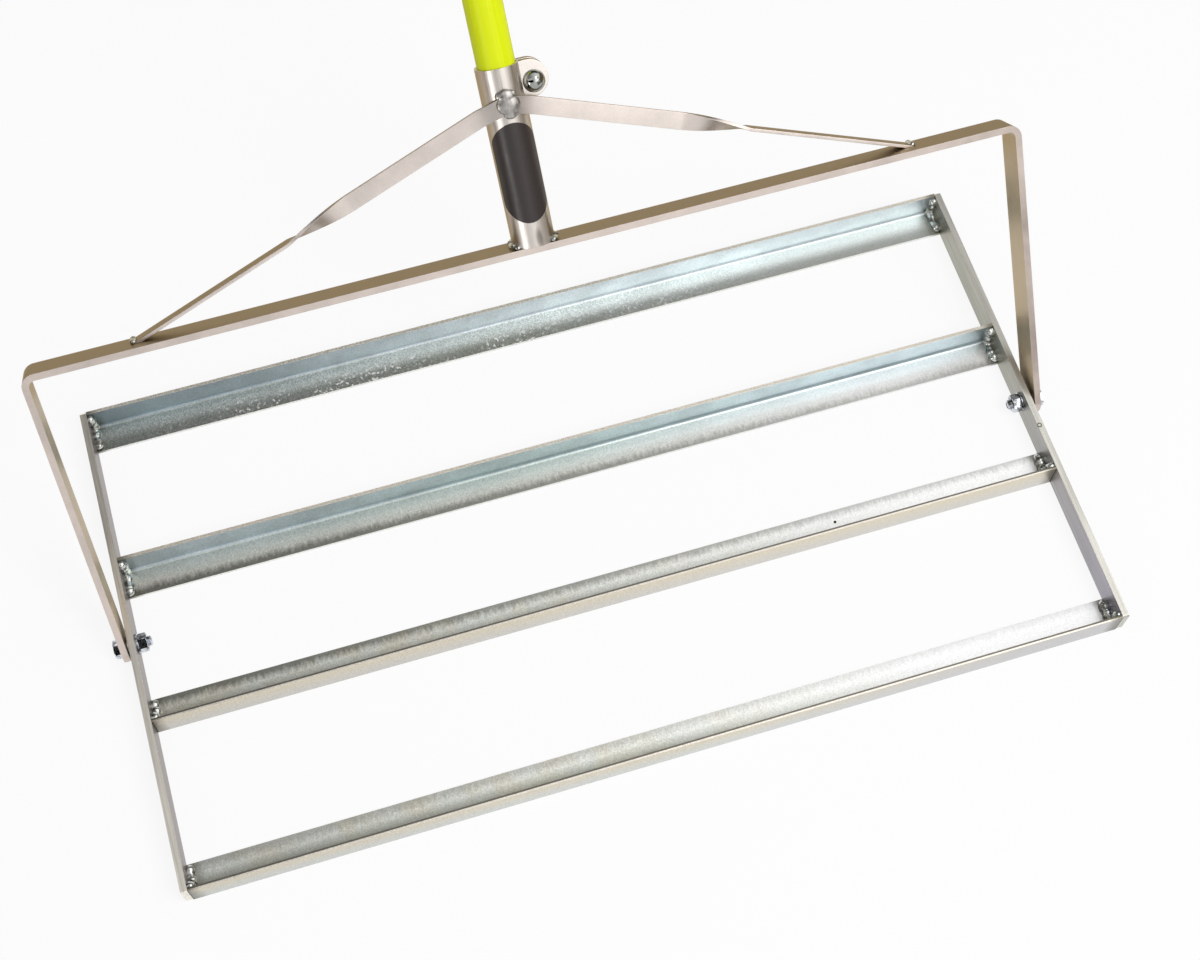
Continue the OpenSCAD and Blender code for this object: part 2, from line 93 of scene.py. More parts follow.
class RakeSizes(bpy.types.PropertyGroup):
    """Sizes of the rake, the same as in its solids."""

    head_w: length("Head width", "Width of the head over its side plates", 914.4)
    head_d: length("Head depth", "Length of the side plates", 498)
    plate_t: length("Plate thickness", "Thickness of the side plates", 6.35)
    plate_corner_r: length("Plate corner", "Radius on the corners of the side plates", 2.4)
    blade_leg: length("Blade leg", "Leg of the blade angles and height of the plates", 31.75)
    blade_t: length("Blade thickness", "Thickness of the blade angles", 3.175)
    blade_root_r: length("Blade root", "Radius at the root of the blade angles", 3.2)
    mid_blade_y: length("Middle blade", "From the head's middle to the back of a middle blade", 85.6)
    yoke_w: length("Yoke width", "Width of the yoke bar", 31.75)
    yoke_t: length("Yoke thickness", "Thickness of the yoke bar", 6.35)
    yoke_gap: length("Yoke gap", "From the head to the crossbar with the yoke flat", 32.35)
    yoke_splay: turn("Yoke splay", "Outward lean of each yoke arm", 1.5)
    yoke_bend_r: length("Yoke bend", "Inside radius of the two yoke bends", 6)
    arm_end: length("Arm end", "From the pivots to the round ends of the arms", 13.5)
    yoke_angle: turn("Yoke angle", "Angle of the yoke above the ground", 48.55)
    pivot_d: length("Pivot bolt", "Shank diameter of the pivot bolts", 10)
    pivot_af: length("Pivot flats", "Width across the flats of pivot heads and nuts", 16)
    pivot_head_h: length("Pivot head", "Height of the pivot bolt heads", 6.4)
    pivot_washer_d: length("Pivot washer", "Outside diameter of the pivot washers", 20)
    pivot_washer_t: length("Pivot washer thickness", "Thickness of the pivot washers", 2)
    pivot_nut_h: length("Pivot nut", "Height of the pivot nuts", 8.4)
    pivot_bolt_end: length("Pivot bolt end", "Bolt that shows past the pivot nuts", 4)
    pivot_side_clear: length("Pivot side clearance", "Side clearance of the yoke arms", 0.35)
    handle_d: length("Handle diameter", "Outside diameter of the handle", 34.9)
    handle_wall: length("Handle wall", "Wall of the handle tube", 3.2)
    handle_len: length("Handle length", "Length of the handle tube", 1829)
    end_cap_h: length("End cap", "Height of the end plug's cap", 7)
    end_plug_len: length("End plug", "Length of the plug inside the handle", 35)
    socket_clear: length("Socket clearance", "Between the handle and the socket", 0.2)
    socket_wall: length("Socket wall", "Wall of the socket tube", 2.35)
    socket_len: length("Socket length", "Length of the socket tube", 165)
    slit_w: length("Slit width", "Width of the slit in the socket tube", 3)
    slit_past: length("Slit run-on", "How far the slit runs on below the lugs", 22)
    seat_gap: length("Seat gap", "Gap under the handle on the crossbar", 0.3)
    lug_t: length("Lug thickness", "Thickness of the clamp lugs", 6.35)
    lug_r: length("Lug radius", "Radius of the round end of the clamp lugs", 17)
    lug_end: length("Lug end", "From the clamp bolt to the tips of the lugs", 13.6)
    clamp_bolt_drop: length("Clamp bolt drop", "From the lugs' middle down to the clamp bolt", 3)
    dome_gap: length("Dome gap", "From the bolt's dome to the socket tube", 0.35)
    dome_d: length("Dome diameter", "Diameter of the clamp bolt's dome", 20.6)
    dome_h: length("Dome height", "Height of the clamp bolt's dome", 7)
    clamp_d: length("Clamp bolt", "Shank diameter of the clamp bolt", 8)
    clamp_washer_d: length("Clamp washer", "Outside diameter of the clamp washer", 16)
    clamp_washer_t: length("Clamp washer thickness", "Thickness of the clamp washer", 1.6)
    clamp_nut_af: length("Clamp nut flats", "Width across the flats of the clamp nut", 13)
    clamp_nut_h: length("Clamp nut", "Height of the clamp nut", 6.5)
    clamp_bolt_end: length("Clamp bolt end", "Bolt that shows past the clamp nut", 3)
    brace_w: length("Brace width", "Width of the brace bars", 15.875)
    brace_t: length("Brace thickness", "Thickness of the brace bars", 3.175)
    brace_drop: length("Brace drop", "From the socket's rim to the middle of the braces", 31)
    brace_inset: length("Brace inset", "From the yoke's outside to the foot of a brace", 106)
    brace_foot_back: length("Brace foot", "How far the feet sit behind the crossbar's middle", 5)
    brace_wrap: turn("Brace wrap", "Lean of the braces round the socket tube", 24)
    brace_bend_out: length("Brace bend", "From the socket's wall to the bend in a brace", 6)
    brace_twist_len: length("Brace twist", "Length of the quarter twist", 66)
    brace_split: length("Brace split", "Gap between the braces under the weld", 6)

    @property
    def plate_face(self):
        """From the middle to the inside of a side plate."""
        return self.head_w / 2 - self.plate_t

    @property
    def pivot_z(self):
        """Height of the pivots."""
        return self.blade_leg / 2

    @property
    def arm_face(self):
        """From the middle to the inside of a yoke arm at its pivot."""
        return self.head_w / 2 + self.pivot_washer_t + self.pivot_side_clear

    @property
    def pivot_x(self):
        """From the middle to the middle of a yoke arm at its pivot."""
        return self.arm_face + self.yoke_t / 2

    @property
    def bolt_seat(self):
        """From the middle to the underside of a pivot bolt's head."""
        return self.arm_face + self.yoke_t + self.pivot_side_clear

    @property
    def nut_seat(self):
        """From the middle to the seat of a pivot nut."""
        return self.plate_face - self.pivot_washer_t

    @property
    def yoke_reach(self):
        """From the pivots to the far side of the crossbar."""
        return self.head_d / 2 + self.yoke_gap + self.yoke_t

    @property
    def bend_y(self):
        """From the pivots to the centres of the yoke's bends."""
        return self.yoke_reach - self.yoke_bend_r - self.yoke_t

    @property
    def bend_mid_r(self):
        """Radius of the yoke's bends at the middle of the bar."""
        return self.yoke_bend_r + self.yoke_t / 2

    @property
    def arm_top_y(self):
        """From the pivots to where an arm runs into its bend."""
        return self.bend_y - self.bend_mid_r * math.sin(self.yoke_splay)

    @property
    def bend_x(self):
        """From the middle to the centre of a bend."""
        return (
            self.pivot_x
            + self.arm_top_y * math.tan(self.yoke_splay)
            - self.bend_mid_r * math.cos(self.yoke_splay)
        )

    @property
    def yoke_half_w(self):
        """From the middle to the outside of the yoke."""
        return self.bend_x + self.yoke_bend_r + self.yoke_t

    @property
    def socket_r(self):
        """Outside radius of the socket tube."""
        return self.handle_d / 2 + self.socket_clear + self.socket_wall

    @property
    def socket_rim(self):
        """From the pivots to the socket's rim."""
        return self.yoke_reach + self.socket_len

    @property
    def lug_face(self):
        """From the socket's axis to the outside of a lug."""
        return self.slit_w / 2 + self.lug_t

    @property
    def lug_x(self):
        """From the socket's axis to the clamp bolt."""
        return math.sqrt(self.socket_r**2 - self.lug_face**2) + self.dome_gap + self.dome_d / 2

    @property
    def lug_y(self):
        """From the pivots to the middle of the lugs."""
        return self.socket_rim - self.lug_r

    @property
    def handle_foot(self):
        """From the pivots to the handle's foot."""
        return self.yoke_reach + self.seat_gap

    @property
    def brace_foot(self):
        """Foot of the right brace on the crossbar."""
        return Vector((self.yoke_half_w - self.brace_inset, self.yoke_reach, -self.brace_foot_back))

    @property
    def brace_top(self):
        """Where the two braces would meet in front of the socket."""
        return Vector(
            (
                0,
                self.socket_rim - self.brace_drop,
                (self.socket_r + self.brace_t / 2) / math.cos(self.brace_wrap),
            )
        )

    @property
    def brace_bend(self):
        """The bend in the right brace, beside the socket."""
        slope = (self.brace_top.y - self.yoke_reach) / self.brace_foot.x
        out = self.socket_r + self.brace_bend_out
        return self.brace_top - out * Vector((-1, slope, math.tan(self.brace_wrap)))


class RakeColours(bpy.types.PropertyGroup):
    """Colours of the rake's finishes."""

    zinc: colour("Zinc", "Bright zinc plate on the head", "#eaeae5")
    # Painted shade and reflection inside the blades' standing legs
    zinc_blue_inside_shade: colour("Blue zinc", "Blue cast of the plate inside the blades", "#d9e3ed")
    zinc_dull: colour("Dull zinc", "Weathered toe of the rear blade", "#b4b7b1")
    # Painted shade, deeper at the left end inside the outer blades
    zinc_deep_inside_shade: colour("Deep zinc", "Left end inside the outer blades", "#a3b5c1")
    # Painted shade and reflection inside the middle blades
    zinc_slate_inside_shade: colour("Slate zinc", "Cast inside the middle blades", "#a9b8bd")
    zinc_green: colour("Green zinc", "Cool cast near the root of the blades", "#e0e6dd")
    # Painted reflection low outside the front and rear blades
    zinc_cool_low_reflection: colour("Cool zinc", "Cast low outside the front and rear blades", "#d9dbd6")
    zinc_clear: colour("Clear zinc", "Middle blades towards the right end", "#f0f0f0")
    # Painted reflection low outside the middle blades
    zinc_beige_low_reflection: colour("Beige zinc", "Cast low outside the middle blades", "#d9d6cf")
    zinc_grey: colour("Grey zinc", "Outer blades towards the right end", "#c9c8cb")
    # Painted reflection inside the front of the right side plate
    zinc_mauve_reflection: colour("Mauve zinc", "Cast inside the front of the right side plate", "#a39fa8")
    zinc_tan: colour("Tan zinc", "Pale yellow cast of the plate on thin edges", "#f2ece1")
    # Warm patches, and the painted reflection high outside the blades
    zinc_cream_patch_and_reflection: colour("Cream zinc", "Warm cast high outside the blades", "#e2d8c2")
    zinc_sawn: colour("Sawn edges", "Plate on the sawn edges of the right side plate", "#cac8c0")
    # Painted reflections on the side plates' wide faces, by which way they look
    zinc_lilac_reflection: colour("Lilac zinc", "Cast of the plate inside the left side plate", "#948c89")
    zinc_olive_reflection: colour("Olive zinc", "Cast of the plate inside the right side plate", "#aaa99d")
    zinc_dark: colour("Dark zinc", "Dull streaks where the bath ran off", "#6b6e64")
    # Painted shade on the front blades' top edges, and the dark joint lines and the dot
    zinc_line_and_edge_shade: colour("Dark lines", "Lines along thin edges and joints, and a dot", "#3c382e")
    oxide: colour("Oxide", "White specks on the rear blade", "#ffffff")
    # Heat tint, also used for the painted shade along the front blades' roots
    heat: colour("Heat tint", "Dull tint beside the welds and at the roots", "#63604f")
    weld: colour("Weld", "Plated weld metal", "#d2d5d2")
    # Painted shade in the weld's hollows
    weld_hollow_shade: colour("Weld hollows", "Soot-dark hollows in the weld metal", "#55554f")
    dressed: colour("Dressed weld", "Brushed grey of the weld between the braces", "#b3afab")
    fastener: colour("Fasteners", "Bright zinc on bolts, nuts and washers", "#d2d6de")
    # Painted dark reflection on the fasteners
    fastener_dark_reflection: colour("Fastener patches", "Olive patches on bolts, nuts and washers", "#45443a")
    bar_light: colour("Bar edges", "Satin yoke bar where it faces forward", "#d4c8c0")
    brace_light: colour("Brace faces", "Satin brace bars where they face forward", "#dfd5ce")
    lug_light: colour("Lug faces", "Satin lugs where they face forward", "#ece5de")
    bar_heat: colour("Bar heat", "Heat tint of the braces beside their weld", "#8f8983")
    # Painted reflection on the arms' wide faces
    arm_tan_reflection: colour("Arm faces", "Tan of the wide faces of the yoke's arms", "#bba98c")
    # Painted reflection on the bar's upper faces and on the socket tube's flanks
    bar_brown_reflection: colour("Bar faces", "Warm brown of the bar's upper faces", "#978568")
    tube: colour("Socket", "Satin steel of the socket tube", "#dad3cc")
    tube_seam: colour("Socket seam", "Worn seam line of the socket tube", "#5d554c")
    tube_mark: colour("Socket mark", "Dull mark at the foot of the socket tube", "#5d564d")
    dome: colour("Dome", "Polished steel of the clamp bolt", "#a0a29e")
    label: colour("Label", "Black film of the bare label", "#312928")
    label_scuff: colour("Label scuffs", "Scuffed film of the label", "#2c2626")
    handle: colour("Handle", "Lime fibreglass handle", "#e2ef00")
    wood: colour("Core", "Bare wood inside the handle", "#c69a66")
    wood_grain: colour("Core grain", "Darker grain of the wood", "#8f6a40")
    rubber: colour("End plug", "Black rubber", "#1c1c1c")
    rubber_grain: colour("Plug grain", "Lighter grain of the rubber", "#2a2a2a")


class RakeStage(bpy.types.PropertyGroup):
    """Camera and light."""

    camera_place: bpy.props.FloatVectorProperty(
        name="Camera place",
        description="Where the camera stands",
        default=(-0.223453, -0.715392, 1.712327),
        subtype="TRANSLATION",
        unit="LENGTH",
        size=3,
    )
    camera_turn: bpy.props.FloatVectorProperty(
        name="Camera turn",
        description="How the camera is turned",
        default=tuple(math.radians(a) for a in (25.01674, -0.44269, -16.88554)),
        subtype="EULER",
        size=3,
    )
    camera_lens: bpy.props.FloatProperty(
        name="Lens", description="Focal length in millimetres", default=56.869, unit="CAMERA"
    )
    sky: bpy.props.FloatProperty(
        name="Sky", description="Strength of the even light on dull surfaces", default=0.48
    )
    key_power: bpy.props.FloatProperty(
        name="Key light", description="Power of the soft key light", default=50, unit="POWER"
    )
    key_size: bpy.props.FloatProperty(
        name="Key size", description="Diameter of the soft key light", default=1.6, unit="LENGTH"
    )
    key_place: bpy.props.FloatVectorProperty(
        name="Key place",
        description="Where the soft key light hangs",
        default=(1.0, -1.3, 2.7),
        subtype="TRANSLATION",
        unit="LENGTH",
        size=3,
    )
    key_aim: bpy.props.FloatVectorProperty(
        name="Key aim",
        description="The point that the soft key light looks at",
        default=(0.1, 0.1, 0.1),
        subtype="TRANSLATION",
        unit="LENGTH",
        size=3,
    )


def sizes():
    """The rake's sizes in this scene."""
    return bpy.context.scene.rake_sizes


def colours():
    """The rake's colours in this scene."""
    return bpy.context.scene.rake_colours


# Modelling steps that the pieces share


def begin(name, primitive, **settings):
    """Adds a primitive at its size and place, and opens it in edit mode."""
    bpy.ops.object.select_all(action="DESELECT")
    primitive(**settings)
    piece = bpy.context.object
    piece.name = piece.data.name = name
    bpy.ops.object.transform_apply(location=True, rotation=True, scale=True)
    bpy.ops.object.mode_set(mode="EDIT")
    return piece


def pick(piece, kind, test):
    """Selects the vertices, edges or faces of an open piece that pass a test."""
    bpy.ops.mesh.select_mode(type=kind)
    bpy.ops.mesh.select_all(action="DESELECT")
    mesh = bmesh.from_edit_mesh(piece.data)
    items = {"VERT": mesh.verts, "EDGE": mesh.edges, "FACE": mesh.faces}[kind]
    found = [item for item in items if test(item)]
    if not found:
        raise RuntimeError(f"{piece.name} has no {kind.lower()} to pick")
    for item in found:
        item.select_set(True)
    mesh.select_flush_mode()
    bmesh.update_edit_mesh(piece.data)


def middle(edge):
    """The middle of an edge."""
    return (edge.verts[0].co + edge.verts[1].co) / 2


def along(edge, axis):
    """True where an edge runs along an axis."""
    run = (edge.verts[1].co - edge.verts[0].co).normalized()
    return abs(run.dot(Vector(axis))) > 0.99


def near(a, b, room=1e-5):
    """True where two places lie within a small room of each other."""
    return abs(a - b) < room


def extrude(step):
    """Extrudes what is selected by one step."""
    bpy.ops.mesh.extrude_region_move(TRANSFORM_OT_translate={"value": tuple(step)})


def close(piece):
    """Merges doubles, turns the faces outwards and leaves edit mode."""
    bpy.ops.mesh.select_mode(type="VERT")
    bpy.ops.mesh.select_all(action="SELECT")
    bpy.ops.mesh.remove_doubles(threshold=1e-6)
    bpy.ops.mesh.normals_make_consistent(inside=False)
    bpy.ops.object.mode_set(mode="OBJECT")


def alone(piece):
    """Selects one piece and makes it the active one."""
    bpy.ops.object.select_all(action="DESELECT")
    piece.select_set(True)
    bpy.context.view_layer.objects.active = piece


def modify(piece, kind, **settings):
    """Adds a modifier with its settings and applies it."""
    alone(piece)
    modifier = piece.modifiers.new(kind.title(), kind)
    for name, value in settings.items():
        setattr(modifier, name, value)
    bpy.ops.object.modifier_apply(modifier=modifier.name)


def soften(piece, width, segments=2, degrees=38):
    """Rounds the sharp edges of a closed piece."""
    modify(
        piece,
        "BEVEL",
        width=width,
        segments=segments,
        limit_method="ANGLE",
        angle_limit=math.radians(degrees),
    )


def stand(piece, matrix):
    """Puts a piece that was drawn round its own axis in its place, in its mesh."""
    alone(piece)
    piece.matrix_world = matrix
    bpy.ops.object.transform_apply(location=True, rotation=True, scale=True)


def twin(piece, name, matrix):
    """A copy of a piece with a mesh of its own, moved, turned or mirrored."""
    alone(piece)
    bpy.ops.object.duplicate(linked=False)
    copy = bpy.context.object
    copy.name = copy.data.name = name
    stand(copy, matrix)
    bpy.ops.object.mode_set(mode="EDIT")
    close(copy)
    return copy


def cut(piece, cutter, operation="DIFFERENCE"):
    """Cuts a piece with another one, which is used up."""
    modify(piece, "BOOLEAN", object=cutter, operation=operation, solver="EXACT")
    bpy.data.objects.remove(cutter)


def rod(name, matrix, low, high, radius):
    """A plain rod, used as a cutter."""
    piece = begin(
        name,
        bpy.ops.mesh.primitive_cylinder_add,
        vertices=64,
        radius=radius,
        depth=high - low,
        location=(0, 0, (low + high) / 2),
    )
    close(piece)
    stand(piece, matrix)
    return piece


def turned(name, matrix, rings, sides=64):
    """A turned piece: its outline is drawn ring by ring as (place along the axis, radius)."""
    (start, radius), *rest = rings
    piece = begin(
        name,
        bpy.ops.mesh.primitive_circle_add,
        vertices=sides,
        radius=radius,
        fill_type="NGON",
        location=(0, 0, start),
    )
    bpy.ops.mesh.select_mode(type="FACE")
    bpy.ops.mesh.select_all(action="SELECT")
    for place, new_radius in rest:
        extrude((0, 0, place - start))
        scale = new_radius / radius
        bpy.ops.transform.resize(value=(scale, scale, 1), center_override=(0, 0, place))
        start, radius = place, new_radius
    close(piece)
    stand(piece, matrix)
    return piece


def washer(name, matrix, low, high, outer, inner):
    """A washer: a disc whose two faces are inset and bridged to a hole."""
    piece = begin(
        name,
        bpy.ops.mesh.primitive_cylinder_add,
        vertices=64,
        radius=outer,
        depth=high - low,
        location=(0, 0, (low + high) / 2),
    )
    pick(piece, "FACE", lambda f: abs(f.normal.z) > 0.9)
    bpy.ops.mesh.inset(thickness=outer - inner, use_individual=True)
    bpy.ops.mesh.bridge_edge_loops()
    close(piece)
    soften(piece, (high - low) * 0.16)
    stand(piece, matrix)
    return piece


# Ends of a nut that have their corners turned off
BOTH_ENDS = ("low", "high")


def hexagon(name, matrix, low, high, flats, chamfers, hole=None):
    """A hexagon head or nut, with its corners turned off at one end or both and a hole in a nut."""
    corner, seat = flats / 2 / math.cos(math.pi / 6), flats / 2 * 0.95
    piece = begin(
        name,
        bpy.ops.mesh.primitive_cylinder_add,
        vertices=6,
        radius=corner,
        depth=high - low,
        location=(0, 0, (low + high) / 2),
        rotation=(0, 0, math.pi / 6),
    )
    if hole:
        pick(piece, "FACE", lambda f: abs(f.normal.z) > 0.9)
        bpy.ops.mesh.inset(thickness=0.35 * flats / 2, use_individual=True)
    close(piece)
    # The turned shape that is kept clears the corners at an end that isn't chamfered
    clear, shoulder = corner + MM, corner + 0.1 * MM
    drop = (corner - seat) * math.tan(math.pi / 6)
    rings = [(low, seat if "low" in chamfers else clear)]
    rings += [(low + drop, shoulder)] if "low" in chamfers else []
    rings += [(high - drop, shoulder)] if "high" in chamfers else []
    rings += [(high, seat if "high" in chamfers else clear)]
    cut(piece, turned("chamfer", Matrix(), rings), "INTERSECT")
    if hole:
        cut(piece, rod("bore", Matrix(), low - MM, high + MM, hole))
    soften(piece, 0.25 * MM, degrees=25)
    stand(piece, matrix)
    return piece


def thread(low, high, radius, pitch):
    """Rings of a screw thread, low end first, with a chamfered tip."""
    tip, root, crest = radius * 0.72, radius * 0.86, radius * 0.995
    place = low + pitch * 0.4
    rings = [(low, tip), (place, root)]
    while place + pitch < high:
        rings += [(place + pitch * 0.35, crest), (place + pitch * 0.5, crest), (place + pitch, root)]
        place += pitch
    return rings + [(place + pitch * 0.35, radius)]


def crown(centre, ball, start, steps):
    """Rings of a dome: the skin of a ball, from an angle above its centre's level to its top."""
    angles = [start + (math.pi / 2 - start) * i / steps for i in range(steps + 1)]
    return [(centre + ball * math.sin(a), max(ball * math.cos(a), 0.05 * MM)) for a in angles]


def bead(name, matrix, lumps):
    """Weld metal: overlapping lumps, each (centre, three half sizes), melted into one skin."""
    (first, half), *rest = lumps
    piece = begin(
        name, bpy.ops.mesh.primitive_ico_sphere_add, subdivisions=3, radius=1, location=first, scale=half
    )
    for centre, half in rest:
        bpy.ops.mesh.primitive_ico_sphere_add(subdivisions=3, radius=1, location=centre, scale=half)
    close(piece)
    modify(piece, "REMESH", mode="VOXEL", voxel_size=0.5 * MM)
    modify(piece, "SMOOTH", factor=0.5, iterations=8)
    stand(piece, matrix)
    return piece


def run_of_lumps(points, half, rng, step=2 * MM):
    """Lumps along a path, with a welder's uneven pace."""
    lumps = []
    for a, b in zip(points, points[1:]):
        a, b = Vector(a), Vector(b)
        count = max(2, round((b - a).length / step))
        for i in range(count):
            shift = Vector([rng.uniform(-0.5, 0.5) * MM for _ in range(3)])
            swell = rng.uniform(0.86, 1.14)
            lumps.append((a.lerp(b, (i + 0.5) / count) + shift, tuple(h * swell for h in half)))
    return lumps


def dress(piece, finish):
    """Gives a piece its one finish."""
    piece.data.materials.clear()
    piece.data.materials.append(finish)


def set_in(piece, finish, body, *nodes, slot, room=1.5 * MM):
    """Gives a piece its finish and puts it on its body in place of its CAD nodes."""
    corners = [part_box(node) for node in nodes]
    points = [v.co for v in piece.data.vertices]
    for axis in range(3):
        low = min(c[0][axis] for c in corners) - min(p[axis] for p in points)
        high = max(c[1][axis] for c in corners) - max(p[axis] for p in points)
        if max(abs(low), abs(high)) > room:
            raise RuntimeError(f"{piece.name} is off its solid by {low:.5f}, {high:.5f} on axis {axis}")
    alone(piece)
    bpy.ops.object.shade_smooth_by_angle(angle=math.radians(38))
    # Wide faces stay flat to the light and their rounded edges take the bend
    modify(piece, "WEIGHTED_NORMAL", keep_sharp=True)
    dress(piece, finish)
    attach(piece, body)
    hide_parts(*nodes)


def yoke_frame():
    """From the yoke drawn flat, with Y along its arms, to its place."""
    s = sizes()
    return Matrix.Translation((0, 0, s.pivot_z)) @ Matrix.Rotation(s.yoke_angle, 4, "X")


def pivot_frame():
    """From a piece drawn along Z to the pivot axis along +X."""
    return Matrix.Translation((0, 0, sizes().pivot_z)) @ Matrix.Rotation(math.pi / 2, 4, "Y")


def tube_frame():
    """From a piece drawn along Z to the handle's axis."""
    return yoke_frame() @ Matrix.Rotation(-math.pi / 2, 4, "X")


def clamp_frame():
    """From a piece drawn along Z to the clamp bolt's axis."""
    s = sizes()
    return yoke_frame() @ Matrix.Translation((s.lug_x, s.lug_y - s.clamp_bolt_drop, 0))


# Half a turn about the upright axis, and a mirror from right to left
HALF_TURN = Matrix.Rotation(math.pi, 4, "Z")
LEFT = Matrix.Scale(-1, 4, (1, 0, 0))


# Finishes


def add(tree, kind, inputs=None, **settings):
    """Adds a node with its settings; an input from a node or a socket is linked, any other is set."""
    # In a colour Mix, input 0 is how much of the second colour shows, and 6 and 7 are the colours
    made = tree.nodes.new(kind)
    for name, value in settings.items():
        setattr(made, name, value)
    for name, value in (inputs or {}).items():
        if isinstance(value, bpy.types.Node):
            value = next(socket for socket in value.outputs if socket.enabled)
        if isinstance(value, bpy.types.NodeSocket):
            tree.links.new(value, made.inputs[name])
        else:
            made.inputs[name].default_value = value
    return made


def new_finish(name):
    """An empty material and its node tree."""
    finish = bpy.data.materials.new(name)
    finish.use_nodes = True
    finish.node_tree.nodes.clear()
    return finish, finish.node_tree


def done(tree, shader):
    """Ends a finish with its shader."""
    add(tree, "ShaderNodeOutputMaterial", {"Surface": shader})


def zinc_on_angle():
    """Bright zinc plate on rolled angle."""
    # A thin clear-passivated plate: fine bright spangle, a yellow cast on thin edges, dull streaks at
    # the toes where the bath ran off, white specks of oxide on the rear blade, and a dull heat tint
    # beside the
    # welds. Painted shade and reflection: blue inside the angle, warm high and cool low outside, darker
    # to the left, dark along the front blades' roots and a dark line on their top edges. X runs along
    # the head and Y across it, both in metres from its middle.
    finish, tree = new_finish("zinc_plated_angle")
    s, c = sizes(), colours()
    place = add(tree, "ShaderNodeTexCoord")
    at = add(tree, "ShaderNodeSeparateXYZ", {0: place.outputs["Object"]})
    facing = add(tree, "ShaderNodeSeparateXYZ", {0: place.outputs["Normal"]})
    across = add(tree, "ShaderNodeMath", {0: at.outputs["Y"]}, operation="ABSOLUTE")
    side = add(tree, "ShaderNodeMath", {0: at.outputs["Y"]}, operation="SIGN")
    outward = add(tree, "ShaderNodeMath", {0: facing.outputs["Y"], 1: side}, operation="MULTIPLY")
    # The outer blades lie past this Y and the middle ones short of it
    past_mid = 0.15
    is_mid = add(tree, "ShaderNodeMath", {0: across, 1: past_mid}, operation="LESS_THAN")
    # From a blade's back: 0 on the outside of its standing leg and the leg's length at its toe
    back = add(
        tree,
        "ShaderNodeMath",
        {0: is_mid, 1: s.mid_blade_y - s.head_d / 2, 2: s.head_d / 2},
        operation="MULTIPLY_ADD",
    )
    from_back = add(tree, "ShaderNodeMath", {0: back, 1: across}, operation="SUBTRACT")
    # Spangle of 1.5 mm grains and grit of 0.9 mm, both drawn coarser than real so that they show
    grain = add(
        tree, "ShaderNodeTexVoronoi", {"Vector": place.outputs["Object"], "Scale": 1 / (1.5 * MM)}
    )
    grit = add(
        tree,
        "ShaderNodeTexNoise",
        {"Vector": place.outputs["Object"], "Scale": 1 / (0.9 * MM), "Detail": 2.0, "Roughness": 0.6},
    )
    cloud = add(
        tree,
        "ShaderNodeTexNoise",
        {"Vector": place.outputs["Object"], "Scale": 1 / (45 * MM), "Detail": 3.0, "Roughness": 0.55},
    )
    shade = add(
        tree, "ShaderNodeMapRange", {"Value": grain.outputs["Color"], "To Min": 0.88, "To Max": 1.1}
    )
    fleck = add(
        tree,
        "ShaderNodeMapRange",
        {"Value": grit, "From Min": 0.3, "From Max": 0.7, "To Min": 0.78, "To Max": 1.16},
    )
    sparkle = add(tree, "ShaderNodeMath", {0: shade, 1: fleck}, operation="MULTIPLY")
    flat_leg = add(
        tree, "ShaderNodeMapRange", {"Value": facing.outputs["Z"], "From Min": 0.8, "From Max": 0.95}
    )
    # The flat leg is a cool green near its root and plain zinc at its toe
    to_toe = add(
        tree, "ShaderNodeMapRange", {"Value": from_back, "From Min": 6 * MM, "From Max": s.blade_leg}
    )
    tint = add(tree, "ShaderNodeMix", {0: to_toe, 6: c.zinc_green, 7: c.zinc}, data_type="RGBA")
    # Warm patches on the left of the two front blades
    in_front = add(tree, "ShaderNodeMath", {0: at.outputs["Y"], 1: 0.0}, operation="LESS_THAN")
    warm = add(
        tree,
        "ShaderNodeMapRange",
        {"Value": cloud, "From Min": 0.45, "From Max": 0.6, "To Min": 0.0, "To Max": 0.5},
    )
    warm = add(tree, "ShaderNodeMath", {0: warm, 1: in_front}, operation="MULTIPLY")
    on_left = add(
        tree,
        "ShaderNodeMapRange",
        {"Value": at.outputs["X"], "From Min": -0.1, "From Max": 0.25, "To Min": 1.0, "To Max": 0.0},
    )
    warm = add(tree, "ShaderNodeMath", {0: warm, 1: on_left}, operation="MULTIPLY")
    tint = add(tree, "ShaderNodeMix", {0: warm, 6: tint, 7: c.zinc_cream_patch_and_reflection}, data_type="RGBA")
    # To the right, the middle blades turn clear and the front one grey
    clear = add(
        tree,
        "ShaderNodeMapRange",
        {"Value": at.outputs["X"], "From Min": -0.05, "From Max": 0.3, "To Min": 0.0, "To Max": 0.9},
    )
    not_rear = add(tree, "ShaderNodeMath", {0: at.outputs["Y"], 1: past_mid}, operation="LESS_THAN")
    clear = add(tree, "ShaderNodeMath", {0: clear, 1: not_rear}, operation="MULTIPLY")
    not_mid = add(tree, "ShaderNodeMath", {0: 1.0, 1: is_mid}, operation="SUBTRACT")
    greyer = add(tree, "ShaderNodeMath", {0: not_mid, 1: 0.6}, operation="MULTIPLY")
    plain = add(tree, "ShaderNodeMix", {0: greyer, 6: c.zinc_clear, 7: c.zinc_grey}, data_type="RGBA")
    tint = add(tree, "ShaderNodeMix", {0: clear, 6: tint, 7: plain}, data_type="RGBA")
    # Painted shade along the roots of the two front blades, in the heat tint's colour, less so to the
    # right
    root_shade = add(
        tree,
        "ShaderNodeMapRange",
        {"Value": from_back, "From Min": 10 * MM, "From Max": 21 * MM, "To Min": 0.7, "To Max": 0.0},
    )
    root_shade = add(tree, "ShaderNodeMath", {0: root_shade, 1: in_front}, operation="MULTIPLY")
    root_shade_fade = add(
        tree,
        "ShaderNodeMapRange",
        {"Value": at.outputs["X"], "From Min": 0.0, "From Max": 0.3, "To Min": 1.0, "To Max": 0.15},
    )
    root_shade = add(tree, "ShaderNodeMath", {0: root_shade, 1: root_shade_fade}, operation="MULTIPLY")
    tint = add(tree, "ShaderNodeMix", {0: root_shade, 6: tint, 7: c.heat}, data_type="RGBA")
